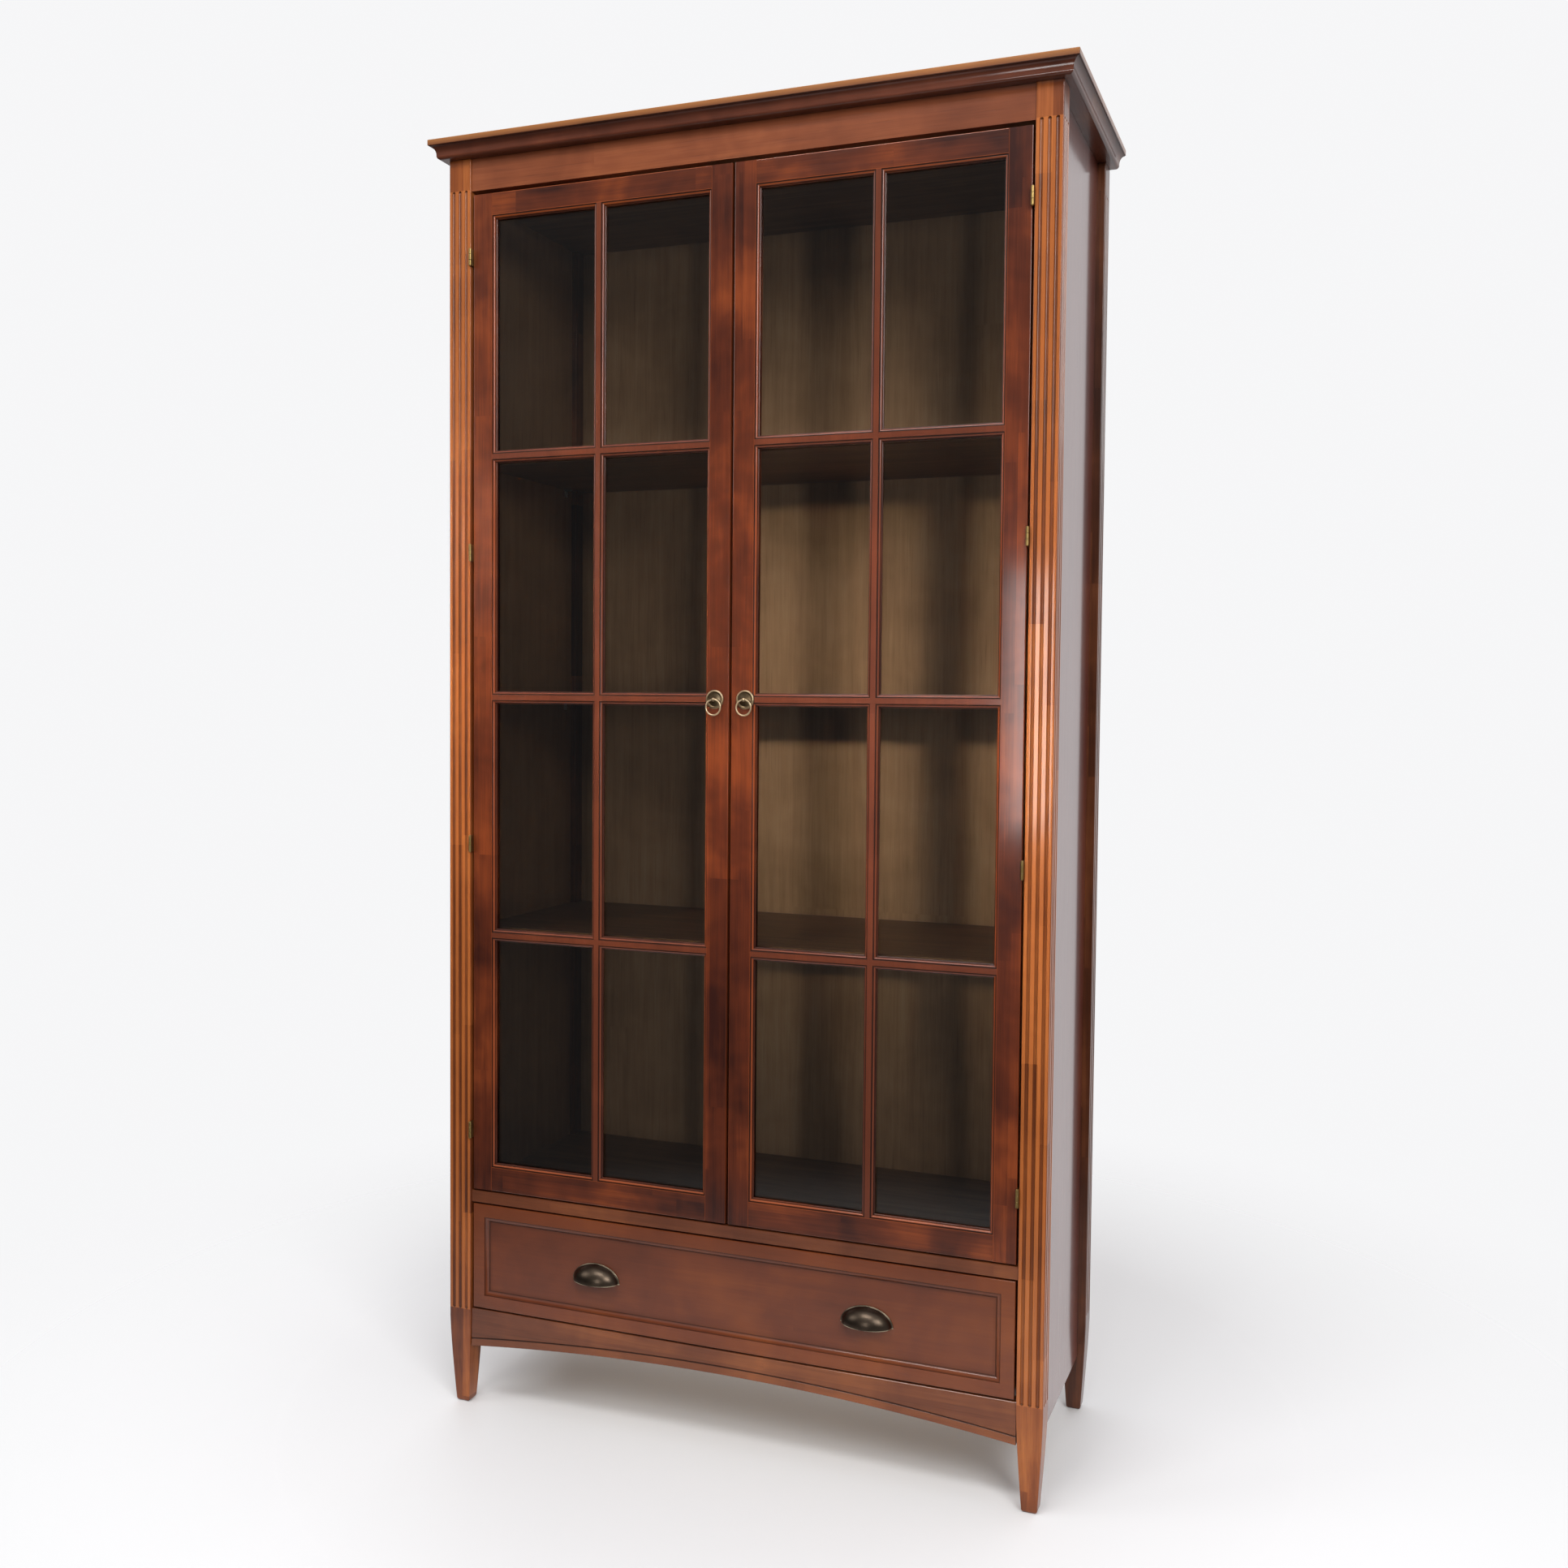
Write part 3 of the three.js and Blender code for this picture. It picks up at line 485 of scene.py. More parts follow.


# Section points are (outward from the posts' faces, height above the soffit, glaze and painted light):
# painted shade deepens up the cove and under the lip, and the lip's face and top edge take a painted
# highlight.
cornice_section = (
    [(-20 * mm, 0, 0), (9.2 * mm, 0, 0)]
    + arc(9.2 * mm, 5.0 * mm, 5.0 * mm, -75, 0, 6)
    + [(14.2 * mm + 8.2 * mm * (1 - math.cos(turn)), 6.0 * mm + 12.4 * mm * math.sin(turn), shade)
       for turn, shade in zip([math.pi / 2 * step / 9 for step in range(10)],
                              (0.12, 0.08, 0.05, 0.05, 0.05, 0.08, 0.1, 0.15, 0.3, 0.5))]
    + [(22.5 * mm, 19 * mm, 0.6), (23.4 * mm, 19 * mm, 0.1), (24 * mm, 19.6 * mm, -0.2),
       (24 * mm, 27.2 * mm, -0.7), (23.2 * mm, 28 * mm, -0.5), (22.4 * mm, 28 * mm, 0),
       (-20 * mm, 28 * mm, 0)])

cornice_wood = wood("cornice_wood", "x", paint(54, 26, 18), paint(94, 48, 31), paint(142, 94, 52),
                    stave=(2.5, 0.05), stave_tint=0.1, streak=0.25)
cornice_wood_side = wood("cornice_wood_side", "y", paint(54, 26, 18), paint(94, 48, 31), paint(142, 94, 52),
                         stave=(2.5, 0.05), stave_tint=0.1, streak=0.25)

points, faces, glaze = moulded(
    cornice_section,
    lambda out, up: (-case_half - out + mitre_gap, case_half + out - mitre_gap),
    lambda out, up, along: (along, post_face_y - out, soffit_z + up))
piece("cornice_front_moulding", points, faces, cornice_wood, "root",
      ["cornice_front"], glaze)
for side, sign in sides:
    points, faces, glaze = moulded(
        cornice_section,
        lambda out, up: (post_face_y - out + mitre_gap, crown_back),
        lambda out, up, along: (sign * (case_half + out), along, soffit_z + up))
    piece(f"cornice_{side}_moulding", points, faces, cornice_wood_side, "root",
          [f"cornice_{side}"], glaze)
dressed("top_board", case_wood_level)

# ---------- Front rails ----------
# The frieze rail hides the ceiling board, the divider parts doors from drawer, and the apron is cut to a
# flat arch with a scratched bead that follows its lower edge.

frieze_wood = wood("frieze_wood", "x", paint(84, 42, 26), paint(121, 65, 39), paint(154, 90, 54),
                   stave=(0.9, 0.07), stave_tint=0.2, streak=0.25, offset=0.21)
dressed("frieze_rail", frieze_wood, 0.6 * mm)
dressed("divider_rail", case_wood_level, 1.2 * mm)

apron_low, apron_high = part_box("apron")
arch_rise = 25 * mm
arch_radius = (apron_high.x ** 2 + arch_rise ** 2) / (2 * arch_rise)
bead_height = 12.5 * mm
apron_arris = 1.2 * mm

apron_stops = [apron_low.x + (apron_high.x - apron_low.x) * step / 72 for step in range(73)]
apron_points, apron_shade_and_highlight = [], []
for x in apron_stops:
    edge = apron_low.z + arch_rise - arch_radius + math.sqrt(arch_radius ** 2 - x ** 2)
    front = apron_low.y
    scratch = edge + bead_height
    # Each point is (depth, height, glaze and painted light): painted shade in the scratched bead's groove,
    # a faint painted highlight on the lower arris.
    column = [
        (apron_high.y, edge, 0), (front + apron_arris, edge, 0.1),
        (front + apron_arris * 0.3, edge + apron_arris * 0.3, 0), (front, edge + apron_arris, -0.1),
        (front, scratch - 1.6 * mm, -0.1), (front + 0.7 * mm, scratch - 1.1 * mm, 0.9),
        (front + 1.1 * mm, scratch, 1.0), (front + 0.4 * mm, scratch + 0.9 * mm, 0.5),
        (front, scratch + 1.5 * mm, 0), (front, apron_high.z - 0.6 * mm, 0),
        (front + 0.6 * mm, apron_high.z, 0), (apron_high.y, apron_high.z, 0)]
    apron_points += [(x, y, z) for y, z, shade in column]
    apron_shade_and_highlight += [shade for y, z, shade in column]
column_count = len(column)
apron_faces = [
    (station * column_count + i, station * column_count + (i + 1) % column_count,
     (station + 1) * column_count + (i + 1) % column_count, (station + 1) * column_count + i)
    for station in range(len(apron_stops) - 1) for i in range(column_count)]
apron_faces += [tuple(range(column_count)),
                tuple(range(len(apron_points) - column_count, len(apron_points)))]
piece("apron_shaped", apron_points, apron_faces, case_wood_level, "root",
      ["apron"], apron_shade_and_highlight)

# ---------- Display space ----------
# Thin veneered back, ceiling, floor and three loose shelves, all stained a dull greyish brown.
# Each shelf rests on four bent steel pins pushed into the side panels.

dressed("back_panel", inside_wood, 0.3 * mm)
for board in ("ceiling_panel", "cabinet_floor", "shelf_lower", "shelf_middle", "shelf_upper"):
    dressed(board, inside_level, 1.0 * mm)

pin_steel = Finish("pin_steel")
pin_place = pin_steel.node("ShaderNodeTexCoord")[3]
pin_marks = pin_steel.noise(pin_place, 900, 3)
pin_steel.node("ShaderNodeOutputMaterial", {}, {0: pin_steel.node("ShaderNodeBsdfPrincipled", {}, {
    "Base Color": pin_steel.mixed(pin_marks, (0.55, 0.56, 0.57), (0.8, 0.8, 0.8)),
    "Metallic": 1.0, "Roughness": 0.22 + pin_marks * 0.15})[0]})


def shell_of(parts):
    """Several closed shells as one list of points and faces."""
    points, faces = [], []
    for more_points, more_faces in parts:
        faces += [tuple(i + len(points) for i in face) for face in more_faces]
        points += more_points
    return points, faces


def block(x0, x1, y0, y1, z0, z1):
    points = [(x, y, z) for z in (z0, z1) for y in (y0, y1) for x in (x0, x1)]
    faces = [(0, 2, 3, 1), (4, 5, 7, 6), (0, 1, 5, 4), (2, 6, 7, 3), (0, 4, 6, 2), (1, 3, 7, 5)]
    return points, faces


def turned(profile, place, steps=32):
    """A turned shape from (radius, height) points that start and end on the axis, put where place says."""
    inner = profile[1:-1]
    turns = [2 * math.pi * step / steps for step in range(steps)]
    points = [place(0, 0, profile[0][1])]
    for radius, height in inner:
        points += [place(radius * math.cos(turn), radius * math.sin(turn), height) for turn in turns]
    points.append(place(0, 0, profile[-1][1]))
    faces = [(0, 1 + s, 1 + (s + 1) % steps) for s in range(steps)]
    for ring in range(len(inner) - 1):
        start = 1 + ring * steps
        faces += [(start + s, start + (s + 1) % steps, start + steps + (s + 1) % steps, start + steps + s)
                  for s in range(steps)]
    start = 1 + (len(inner) - 1) * steps
    faces += [(start + s, start + (s + 1) % steps, len(points) - 1) for s in range(steps)]
    return points, faces


pin_inset = 45 * mm
for shelf in ("shelf_lower", "shelf_middle", "shelf_upper"):
    low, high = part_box(shelf)
    parts = []
    for side, sign in sides:
        for y in (low.y + pin_inset, high.y - pin_inset):
            wall = sign * panel_inner
            parts.append(block(*sorted((wall, wall - sign * 11 * mm)), y - 3.5 * mm, y + 3.5 * mm,
                               low.z - 1.6 * mm, low.z - 0.1 * mm))
            parts.append(block(*sorted((wall, wall - sign * 1.5 * mm)), y - 3.5 * mm, y + 3.5 * mm,
                               low.z - 12 * mm, low.z - 1.6 * mm))
            parts.append(turned(
                [(0, 0), (2.4 * mm, 0), (2.4 * mm, 1.0 * mm), (1.6 * mm, 2.0 * mm), (0, 2.2 * mm)],
                lambda u, v, w: (wall - sign * (1.5 * mm + w), y + u, low.z - 7 * mm + v), 16))
    points, faces = shell_of(parts)
    piece(f"{shelf}_pins", points, faces, pin_steel.owner, "root")

# ---------- Doors ----------
# Each door has stiles from top to bottom with rails coped between them, and a lattice of one upright and
# three cross bars. All share one moulded edge. One sheet of glass lies behind the bars, held by beads.

sticking = 5.5 * mm
bar_depth = 9 * mm
rebate = 7 * mm
door_depth = 20 * mm
door_face_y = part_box("door_left_hinge_stile")[0].y
door_arris = 0.9 * mm

# Points across the moulded edge, from the flat face to the glass: quirk, round and fillet. Each also
# carries glaze and painted light: painted shade in the quirks and at the glass, a painted highlight along
# the round.
moulded_edge = (
    [(0, 0, -0.4), (0.15 * mm, 1.0 * mm, 1.0), (1.2 * mm, 1.1 * mm, 1.0)]
    + [(1.2 * mm + 3.1 * mm * math.sin(turn), 1.1 * mm + 3.3 * mm * (1 - math.cos(turn)), shade)
       for turn, shade in zip([math.pi / 2 * step / 6 for step in range(1, 7)],
                              (-0.3, -0.6, -0.6, -0.3, 0.1, 0.5))]
    + [(4.4 * mm, 4.8 * mm, 1.0), (5.1 * mm, 5.0 * mm, 0.1), (5.5 * mm, 5.4 * mm, 0.0),
       (5.5 * mm, 9 * mm, 0.7)])


def edge_at(depth):
    """How far across the moulded edge the surface is at a depth behind the face."""
    for (a0, d0, _), (a1, d1, _) in zip(moulded_edge, moulded_edge[1:]):
        if depth <= d1:
            return a0 + (a1 - a0) * max(depth - d0, 0) / (d1 - d0)
    return sticking


def member_section(width, wear_and_highlight=0.2):
    """A stile's or rail's section from its outer edge: flat face, moulded edge, rebate and back."""
    # The outer arris is painted lighter as a painted highlight, most on the top rails, and the rebate's
    # corner takes painted shade.
    flat = width - sticking
    return (
        [(0, door_depth - 0.6 * mm, 0), (0, door_arris, -wear_and_highlight), (door_arris * 0.3, door_arris * 0.3, -wear_and_highlight),
         (door_arris, 0, -wear_and_highlight / 2), (door_arris + 0.4 * mm, 0, 0), (flat - 1.5 * mm, 0, 0)]
        + [(flat + a, d, shade) for a, d, shade in moulded_edge]
        + [(width - rebate, bar_depth, 0.4), (width - rebate, door_depth, 0), (0.6 * mm, door_depth, 0)])


def cope(depth, stile_width):
    """Where a coped end meets a stile, from the stile's outer edge."""
    return stile_width - sticking + edge_at(depth) if depth <= bar_depth else stile_width - rebate


joint_gap = 0.25 * mm
bar_half = 9.5 * mm
bar_flat = bar_half - sticking
bar_section = (
    [(-bar_flat - a, d, shade) for a, d, shade in reversed(moulded_edge)]
    + [(bar_flat + a, d, shade) for a, d, shade in moulded_edge])

bead_gap = 0.2 * mm
bead_section = [(0, 0, 0), (6.4 * mm, 0, 0), (6.4 * mm, 2.4 * mm, 0), (4.6 * mm, 5.4 * mm, 0),
                (2 * mm, 7 * mm, 0), (0, 7 * mm, 0)]

bar_wood = wood("bar_wood", "z", paint(40, 18, 14), paint(66, 31, 21), paint(100, 50, 31),
                stave=(0.34, 0.045), stave_tint=0.3, blotch=0.7)

glass_finish = Finish("glass_finish")
glass_place = glass_finish.node("ShaderNodeTexCoord")[3]
glass_waves = glass_finish.noise(glass_place, 5, 2)
glass_bump = glass_finish.node(
    "ShaderNodeBump", {}, {"Strength": 0.02, "Distance": 0.001, "Height": glass_waves})[0]
glass_shine = glass_finish.node("ShaderNodeBsdfPrincipled", {}, {
    "Base Color": glass_finish.mixed(glass_waves, (0.90, 0.92, 0.94), (0.95, 0.96, 0.97)), "Metallic": 1.0,
    "Roughness": 0.02, "Normal": glass_bump})[0]
glass_clear = glass_finish.node("ShaderNodeBsdfTransparent", {}, {0: (0.955, 0.965, 0.955)})[0]
glass_angle = glass_finish.node("ShaderNodeFresnel", {}, {"IOR": 1.5})[0]
glass_finish.node("ShaderNodeOutputMaterial", {}, {0: glass_finish.node(
    "ShaderNodeMixShader", {}, {0: glass_angle, 1: glass_clear, 2: glass_shine})[0]})

for side, sign in sides:
    body = f"door_{side}"
    hinge_low, hinge_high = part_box(f"door_{side}_hinge_stile")
    meet_low, meet_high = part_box(f"door_{side}_meeting_stile")
    stile_width = hinge_high.x - hinge_low.x
    left, right = min(hinge_low.x, meet_low.x), max(hinge_high.x, meet_high.x)
    bottom, top = hinge_low.z, hinge_high.z

    hinge_edge, meeting_edge = (left, right) if sign < 0 else (right, left)
    for role, outer, inward in (("hinge", hinge_edge, -sign), ("meeting", meeting_edge, sign)):
        points, faces, glaze = moulded(
            member_section(stile_width), lambda across, depth: (bottom, top),
            lambda across, depth, along: (outer + inward * across, door_face_y + depth, along))
        piece(f"door_{side}_{role}_stile_moulded", points, faces, door_wood_upright, body,
              [f"door_{side}_{role}_stile"], glaze)

    for role, outer, inward in (("top", top, -1), ("bottom", bottom, 1)):
        low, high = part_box(f"door_{side}_{role}_rail")
        points, faces, glaze = moulded(
            member_section(high.z - low.z, 0.9 if role == "top" else 0.2),
            lambda across, depth: (left + cope(depth, stile_width) + joint_gap,
                                   right - cope(depth, stile_width) - joint_gap),
            lambda across, depth, along: (along, door_face_y + depth, outer + inward * across))
        piece(f"door_{side}_{role}_rail_moulded", points, faces, door_wood_level, body,
              [f"door_{side}_{role}_rail"], glaze)

    opening_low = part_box(f"door_{side}_bottom_rail")[1].z
    opening_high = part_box(f"door_{side}_top_rail")[0].z
    middle = (left + right) / 2
    pane_height = (opening_high - opening_low - 3 * 2 * bar_half) / 4
    bar_heights = [opening_low + (row + 1) * pane_height + (2 * row + 1) * bar_half for row in range(3)]
    lattice = [moulded(
        bar_section,
        lambda across, depth: (opening_low - sticking + edge_at(depth),
                               opening_high + sticking - edge_at(depth)),
        lambda across, depth, along: (middle + across, door_face_y + depth, along))]
    for height in bar_heights:
        for start, stop in ((left + stile_width - sticking, middle - bar_flat),
                            (middle + bar_flat, right - stile_width + sticking)):
            lattice.append(moulded(
                bar_section,
                lambda across, depth: (start + edge_at(depth), stop - edge_at(depth)),
                lambda across, depth, along: (along, door_face_y + depth, height + across)))
    points, faces = shell_of([(points, faces) for points, faces, glaze in lattice])
    piece(f"door_{side}_glazing_bars_moulded", points, faces, bar_wood, body,
          [f"door_{side}_glazing_bars"], [shade for part in lattice for shade in part[2]])

    dressed(f"door_{side}_glass", glass_finish.owner, 0.3 * mm)
    bead_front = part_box(f"door_{side}_glass")[1].y + bead_gap
    reach = stile_width - rebate + bead_gap
    low_x, high_x = left + reach, right - reach
    low_z, high_z = opening_low - rebate + bead_gap, opening_high + rebate - bead_gap
    beads = []
    for outer, inward in ((low_x, 1), (high_x, -1)):
        beads.append(moulded(
            bead_section, lambda across, depth: (low_z + across, high_z - across),
            lambda across, depth, along: (outer + inward * across, bead_front + depth, along)))
    for outer, inward in ((low_z, 1), (high_z, -1)):
        beads.append(moulded(
            bead_section, lambda across, depth: (low_x + across, high_x - across),
            lambda across, depth, along: (along, bead_front + depth, outer + inward * across)))
    points, faces = shell_of([(points, faces) for points, faces, glaze in beads])
    piece(f"door_{side}_glass_beads", points, faces, door_wood_upright, body)

# ---------- Hinges ----------
# Four one-inch brass butts hang each door. The thin leaves are let in between door and post, and the
# barrel of three knuckles stands proud of the face with a small button at each end of its pin.

brass = Finish("brass")
brass_place = brass.node("ShaderNodeTexCoord")[3]
brass_wear = brass.noise(brass_place, 260, 4)
brass_spots = brass.noise(brass_place, 60, 3)
brass_height = brass.node(
    "ShaderNodeBump", {}, {"Strength": 0.15, "Distance": 0.0002, "Height": brass_wear})[0]
brass.node("ShaderNodeOutputMaterial", {}, {0: brass.node("ShaderNodeBsdfPrincipled", {}, {
    "Base Color": brass.mixed(brass_spots, paint(112, 92, 50), paint(176, 148, 96)),
    "Metallic": 1.0, "Roughness": 0.3 + brass_wear * 0.2, "Normal": brass_height})[0]})

barrel_radius = 2.5 * mm
button_radius = 1.9 * mm
knuckle_ease = 0.35 * mm
knuckle_gap = 0.12 * mm
leaf_thickness = 1.2 * mm
post_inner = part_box("post_front_right")[0].x
door_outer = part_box("door_right_hinge_stile")[1].x
for side, sign in sides:
    for number in range(1, 5):
        low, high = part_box(f"hinge_{side}_{number}_post_leaf")
        axis_x = sign * (post_inner + door_outer) / 2
        axis_y = low.y + barrel_radius
        plate_front = axis_y + barrel_radius + 0.3 * mm
        knuckle = (high.z - low.z) / 3
        for leaf, own, face, inward in (("post", (0, 2), post_inner, -1), ("door", (1,), door_outer, 1)):
            flat_x = sorted((sign * face, sign * (face + inward * leaf_thickness)))
            parts = [block(*flat_x, plate_front, high.y, low.z, high.z)]
            for index in own:
                z0 = low.z + knuckle * index + (knuckle_gap if index else 0)
                z1 = low.z + knuckle * (index + 1) - (knuckle_gap if index < 2 else 0)
                parts.append(block(*flat_x, axis_y, plate_front + 0.2 * mm, z0, z1))
                parts.append(turned(
                    [(0, z0), (barrel_radius - knuckle_ease, z0), (barrel_radius, z0 + knuckle_ease),
                     (barrel_radius, z1 - knuckle_ease), (barrel_radius - knuckle_ease, z1), (0, z1)],
                    lambda u, v, w: (axis_x + u, axis_y + v, w), 24))
            if leaf == "post":
                for z, up in ((low.z, -1), (high.z, 1)):
                    parts.append(turned(
                        [(0, z - up * 0.2 * mm), (button_radius, z - up * 0.2 * mm),
                         (button_radius, z + up * 0.3 * mm), (1.3 * mm, z + up * 0.8 * mm),
                         (0, z + up * 1.0 * mm)],
                        lambda u, v, w: (axis_x + u, axis_y + v, w), 20))
            points, faces = shell_of(parts)
            piece(f"hinge_{side}_{number}_{leaf}_leaf_brass", points, faces, brass.owner,
                  "root" if leaf == "post" else f"door_{side}",
                  [f"hinge_{side}_{number}_{leaf}_leaf"])

# ---------- Ring pulls ----------
# An aged brass rose with a raised rim is screwed to each meeting stile. A ball stud stands in the middle
# and a plain round ring hangs through it.

aged_brass = Finish("aged_brass")
aged_place = aged_brass.node("ShaderNodeTexCoord")[3]
aged_cloud = aged_brass.noise(aged_place, 90, 4, 0.65)
aged_fine = aged_brass.noise(aged_place, 700, 3)
aged_stops = [(0.25, paint(92, 74, 54)), (0.5, paint(142, 120, 90)), (0.8, paint(196, 174, 140))]
aged_colour = aged_brass.node("ShaderNodeValToRGB", {"stops": aged_stops}, {0: aged_cloud})[0]
aged_patina_and_highlight = aged_brass.node("ShaderNodeAttribute", {"attribute_name": "glaze"})[2]
# Above zero the brass darkens with patina; below zero it lightens with rub wear plus a painted highlight.
aged_colour = aged_brass.mixed(aged_brass.clamped(aged_patina_and_highlight), aged_colour, paint(44, 34, 24))
aged_colour = aged_brass.mixed(aged_brass.clamped(0.0 - aged_patina_and_highlight), aged_colour, paint(226, 204, 166))
aged_height = aged_brass.node(
    "ShaderNodeBump", {}, {"Strength": 0.12, "Distance": 0.0002, "Height": aged_fine})[0]
aged_brass.node("ShaderNodeOutputMaterial", {}, {0: aged_brass.node("ShaderNodeBsdfPrincipled", {}, {
    "Base Color": aged_colour, "Metallic": 1.0,
    "Roughness": 0.26 + aged_fine * 0.16, "Normal": aged_height})[0]})

rose_radius = 14 * mm
ring_radius = 11.5 * mm
ring_wire = 1.5 * mm
hoop_wire = 1.25 * mm
hoop_steps, wire_steps = 64, 14
ball_radius = 2.9 * mm
for side, sign in sides:
    rose_low, rose_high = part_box(f"ring_pull_{side}_plate")
    x = (rose_low.x + rose_high.x) / 2
    ring_low, ring_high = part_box(f"ring_pull_{side}_ring")
    eye_z = ring_high.z - ring_wire
    eye_y = (ring_low.y + ring_high.y) / 2
    seat = rose_high.y
    rise = seat - eye_y

    def on_stile(u, v, w):
        return (x + u, seat - w, eye_z + v)

    rose = turned(
        [(0, 0), (rose_radius, 0), (rose_radius, 1.0 * mm), (13.4 * mm, 1.9 * mm), (12.2 * mm, 2.3 * mm),
         (11.0 * mm, 2.1 * mm), (10.3 * mm, 1.3 * mm), (9.4 * mm, 1.2 * mm), (6.0 * mm, 1.9 * mm),
         (4.4 * mm, 2.3 * mm), (0, 2.4 * mm)], on_stile, 48)
    stud = turned(
        [(0, 1.8 * mm), (2.6 * mm, 1.8 * mm), (1.7 * mm, 3.2 * mm), (1.6 * mm, rise - 2.2 * mm)]
        + [(ball_radius * math.sin(turn), rise - ball_radius * math.cos(turn))
           for turn in [math.pi * (0.26 + 0.74 * step / 12) for step in range(12)]]
        + [(0, rise + ball_radius)], on_stile, 32)
    points, faces = shell_of([rose, stud])
    # The rose's face takes a dark patina; its rim, the stud and the ball are painted lighter, rub wear plus
    # a painted highlight.
    wear_and_highlight = []
    for u, v, w in points:
        out = math.hypot(u - x, w - eye_z)
        wear_and_highlight.append(-0.3 if out > 12 * mm else 0.55 if seat - v < 3 * mm else -0.4)
    piece(f"ring_pull_{side}_rose", points, faces, aged_brass.owner, f"door_{side}",
          [f"ring_pull_{side}_plate"], wear_and_highlight, crease=50)

    hoop = []
    for step in range(hoop_steps):
        turn = 2 * math.pi * step / hoop_steps
        for point in range(wire_steps):
            roll = 2 * math.pi * point / wire_steps
            reach = ring_radius + hoop_wire * math.cos(roll)
            hoop.append((x + reach * math.sin(turn), eye_y + hoop_wire * math.sin(roll),
                         eye_z - ring_radius + reach * math.cos(turn)))
    hoop_faces = []
    for step in range(hoop_steps):
        here, after = step * wire_steps, (step + 1) % hoop_steps * wire_steps
        for point in range(wire_steps):
            beside = (point + 1) % wire_steps
            hoop_faces.append((here + point, here + beside, after + beside, after + point))
    piece(f"ring_pull_{side}_hoop", hoop, hoop_faces, aged_brass.owner, f"ring_{side}",
          [f"ring_pull_{side}_ring"], [-0.75] * len(hoop))

# ---------- Drawer ----------
# The drawer front is framed round a sunk flat panel with a moulded edge. Behind it is a plain pale
# hardwood box with a thin ply bottom, sliding on two wooden runners.

drawer_wood = wood("drawer_wood", "x", paint(66, 30, 18), paint(96, 46, 24), paint(128, 66, 28),
                   stave=(1.2, 0.2), stave_tint=0.12, blotch=0.5, streak=0.15, pore=0.15)
low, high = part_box("drawer_front")
frame_width = 20 * mm
# Points in from the front's outer edge: eased corner, flat frame, quirk, slope and the sunk field. The
# third value puts painted shade in the quirk and the field's inner corner and a faint painted highlight on
# the eased corner and frame.
front_steps = [
    (0, 20 * mm, 0), (0, 1.0 * mm, 0), (0.3 * mm, 0.3 * mm, -0.2), (1.0 * mm, 0, -0.1),
    (frame_width, 0, -0.1), (20.4 * mm, 0.9 * mm, 0.9), (21.4 * mm, 1.1 * mm, 0.3),
    (23.4 * mm, 1.5 * mm, 0.0), (25.4 * mm, 2.6 * mm, 0.0), (26.6 * mm, 4.2 * mm, 0.4),
    (27.2 * mm, 4.9 * mm, 0.95), (28.6 * mm, 5.0 * mm, 0.2), (34 * mm, 5.0 * mm, 0.0)]
front_points, front_shade_and_highlight = [], []
for inset, depth, shade in front_steps:
    for x, z in ((low.x + inset, low.z + inset), (high.x - inset, low.z + inset),
                 (high.x - inset, high.z - inset), (low.x + inset, high.z - inset)):
        front_points.append((x, low.y + depth, z))
        front_shade_and_highlight.append(shade)
front_faces = [(ring * 4 + i, ring * 4 + (i + 1) % 4, ring * 4 + 4 + (i + 1) % 4, ring * 4 + 4 + i)
               for ring in range(len(front_steps) - 1) for i in range(4)]
front_faces += [(0, 1, 2, 3), tuple(range(len(front_points) - 4, len(front_points)))]
piece("drawer_front_panelled", front_points, front_faces, drawer_wood, "drawer",
      ["drawer_front"], front_shade_and_highlight, crease=25)

box_wood = wood("box_wood", "y", paint(150, 112, 70), paint(184, 146, 98), paint(206, 172, 124),
                stave=(0.5, 0.05), stave_tint=0.2, blotch=0.2, streak=0.3, roughness=0.55, coat=0.0)
box_ply = wood("box_ply", "x", paint(150, 118, 80), paint(186, 154, 108), paint(206, 178, 132),
               stave=(2.0, 0.3), stave_tint=0.1, blotch=0.2, streak=0.4, roughness=0.6, coat=0.0)
for board in ("drawer_side_left", "drawer_side_right", "drawer_back"):
    dressed(board, box_wood, 0.8 * mm)
dressed("drawer_bottom", box_ply, 0.2 * mm)
for side, sign in sides:
    dressed(f"drawer_runner_{side}", box_wood, 0.8 * mm)
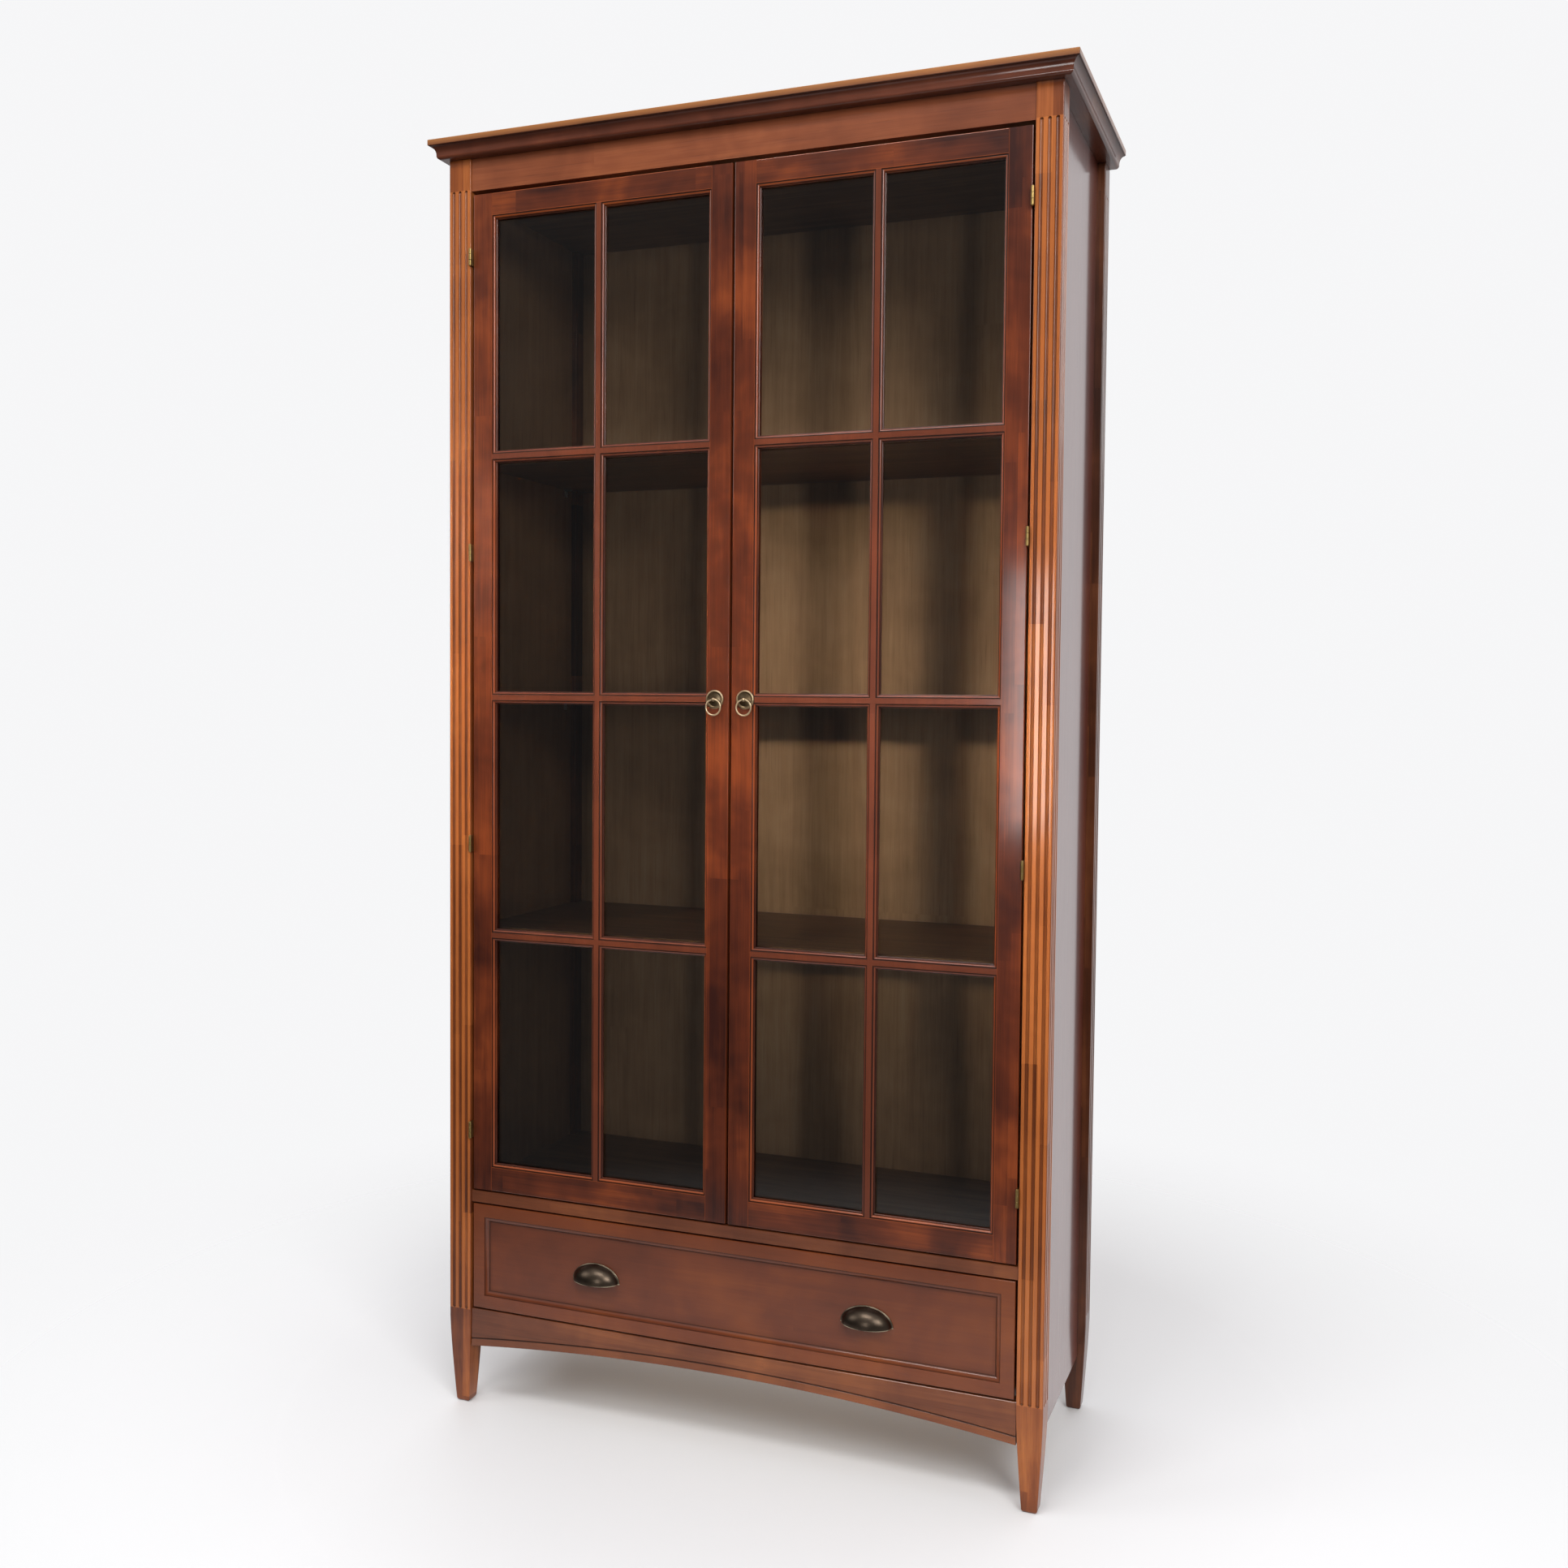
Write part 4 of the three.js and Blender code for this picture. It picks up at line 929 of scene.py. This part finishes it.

# ---------- Cup pulls ----------
# Pressed brass half domes, open underneath for the fingers, with a narrow flange against the panel.
# The bronze is painted lighter along the flange and the lower rim: rub wear plus a painted highlight.

bronze = Finish("bronze")
bronze_place = bronze.node("ShaderNodeTexCoord")[3]
bronze_cloud = bronze.noise(bronze_place, 45, 3, 0.5)
bronze_fine = bronze.noise(bronze_place, 600, 3)
bronze_wear_and_highlight = bronze.node("ShaderNodeAttribute", {"attribute_name": "glaze"})[2]
bronze_colour = bronze.mixed(bronze_cloud, paint(52, 44, 38), paint(88, 76, 64))
bronze_colour = bronze.mixed(bronze.clamped(0.0 - bronze_wear_and_highlight), bronze_colour, paint(200, 184, 154))
bronze.node("ShaderNodeOutputMaterial", {}, {0: bronze.node("ShaderNodeBsdfPrincipled", {}, {
    "Base Color": bronze_colour, "Metallic": 1.0, "Roughness": 0.27 + bronze_fine * 0.12})[0]})

cup_wall = 1.6 * mm
flange_width = 2.2 * mm
flange_thickness = 1.2 * mm
for side, sign in sides:
    low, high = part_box(f"cup_pull_{side}")
    x = (low.x + high.x) / 2
    half_width = (high.x - low.x) / 2
    height = high.z - low.z
    project = high.y - low.y - 0.2 * mm
    section = []
    for step in range(15):
        turn = math.pi / 2 * step / 14
        section.append((math.sin(turn) * (1 - flange_width / half_width), project * math.cos(turn), 0))
    section[-1] = (section[-1][0], flange_thickness + 0.9 * mm, 0)
    section += [(section[-1][0] + 0.012, flange_thickness + 0.2 * mm, 0), (0.985, flange_thickness, -0.15),
                (1.0, flange_thickness * 0.5, -0.3), (1.0, 0, 0),
                (1 - flange_width / half_width - 0.035, 0, 0)]
    for step in range(13, -1, -1):
        turn = math.pi / 2 * step / 14
        section.append((math.sin(turn) * (1 - flange_width / half_width - cup_wall / half_width),
                        (project - cup_wall) * math.cos(turn), 0))
    stations = 48
    cup_points, cup_faces = [], []
    for station in range(stations + 1):
        turn = math.pi * station / stations
        for reach, out, shade in section:
            cup_points.append((x - half_width * reach * math.cos(turn), high.y - out,
                               low.z + height * reach * math.sin(turn)))
    count = len(section)
    for station in range(stations):
        for i in range(count):
            cup_faces.append((station * count + i, station * count + (i + 1) % count,
                              (station + 1) * count + (i + 1) % count, (station + 1) * count + i))
    cup_faces += [tuple(range(count)), tuple(range(stations * count, (stations + 1) * count))]
    # The end stations are the lower rim, painted lightest: rub wear plus a painted highlight.
    cup_wear_and_highlight = [shade if 0 < station < stations else min(shade, -1.0)
                 for station in range(stations + 1) for reach, out, shade in section]
    piece(f"cup_pull_{side}_pressed", cup_points, cup_faces, bronze.owner, "drawer",
          [f"cup_pull_{side}"], cup_wear_and_highlight, crease=50)
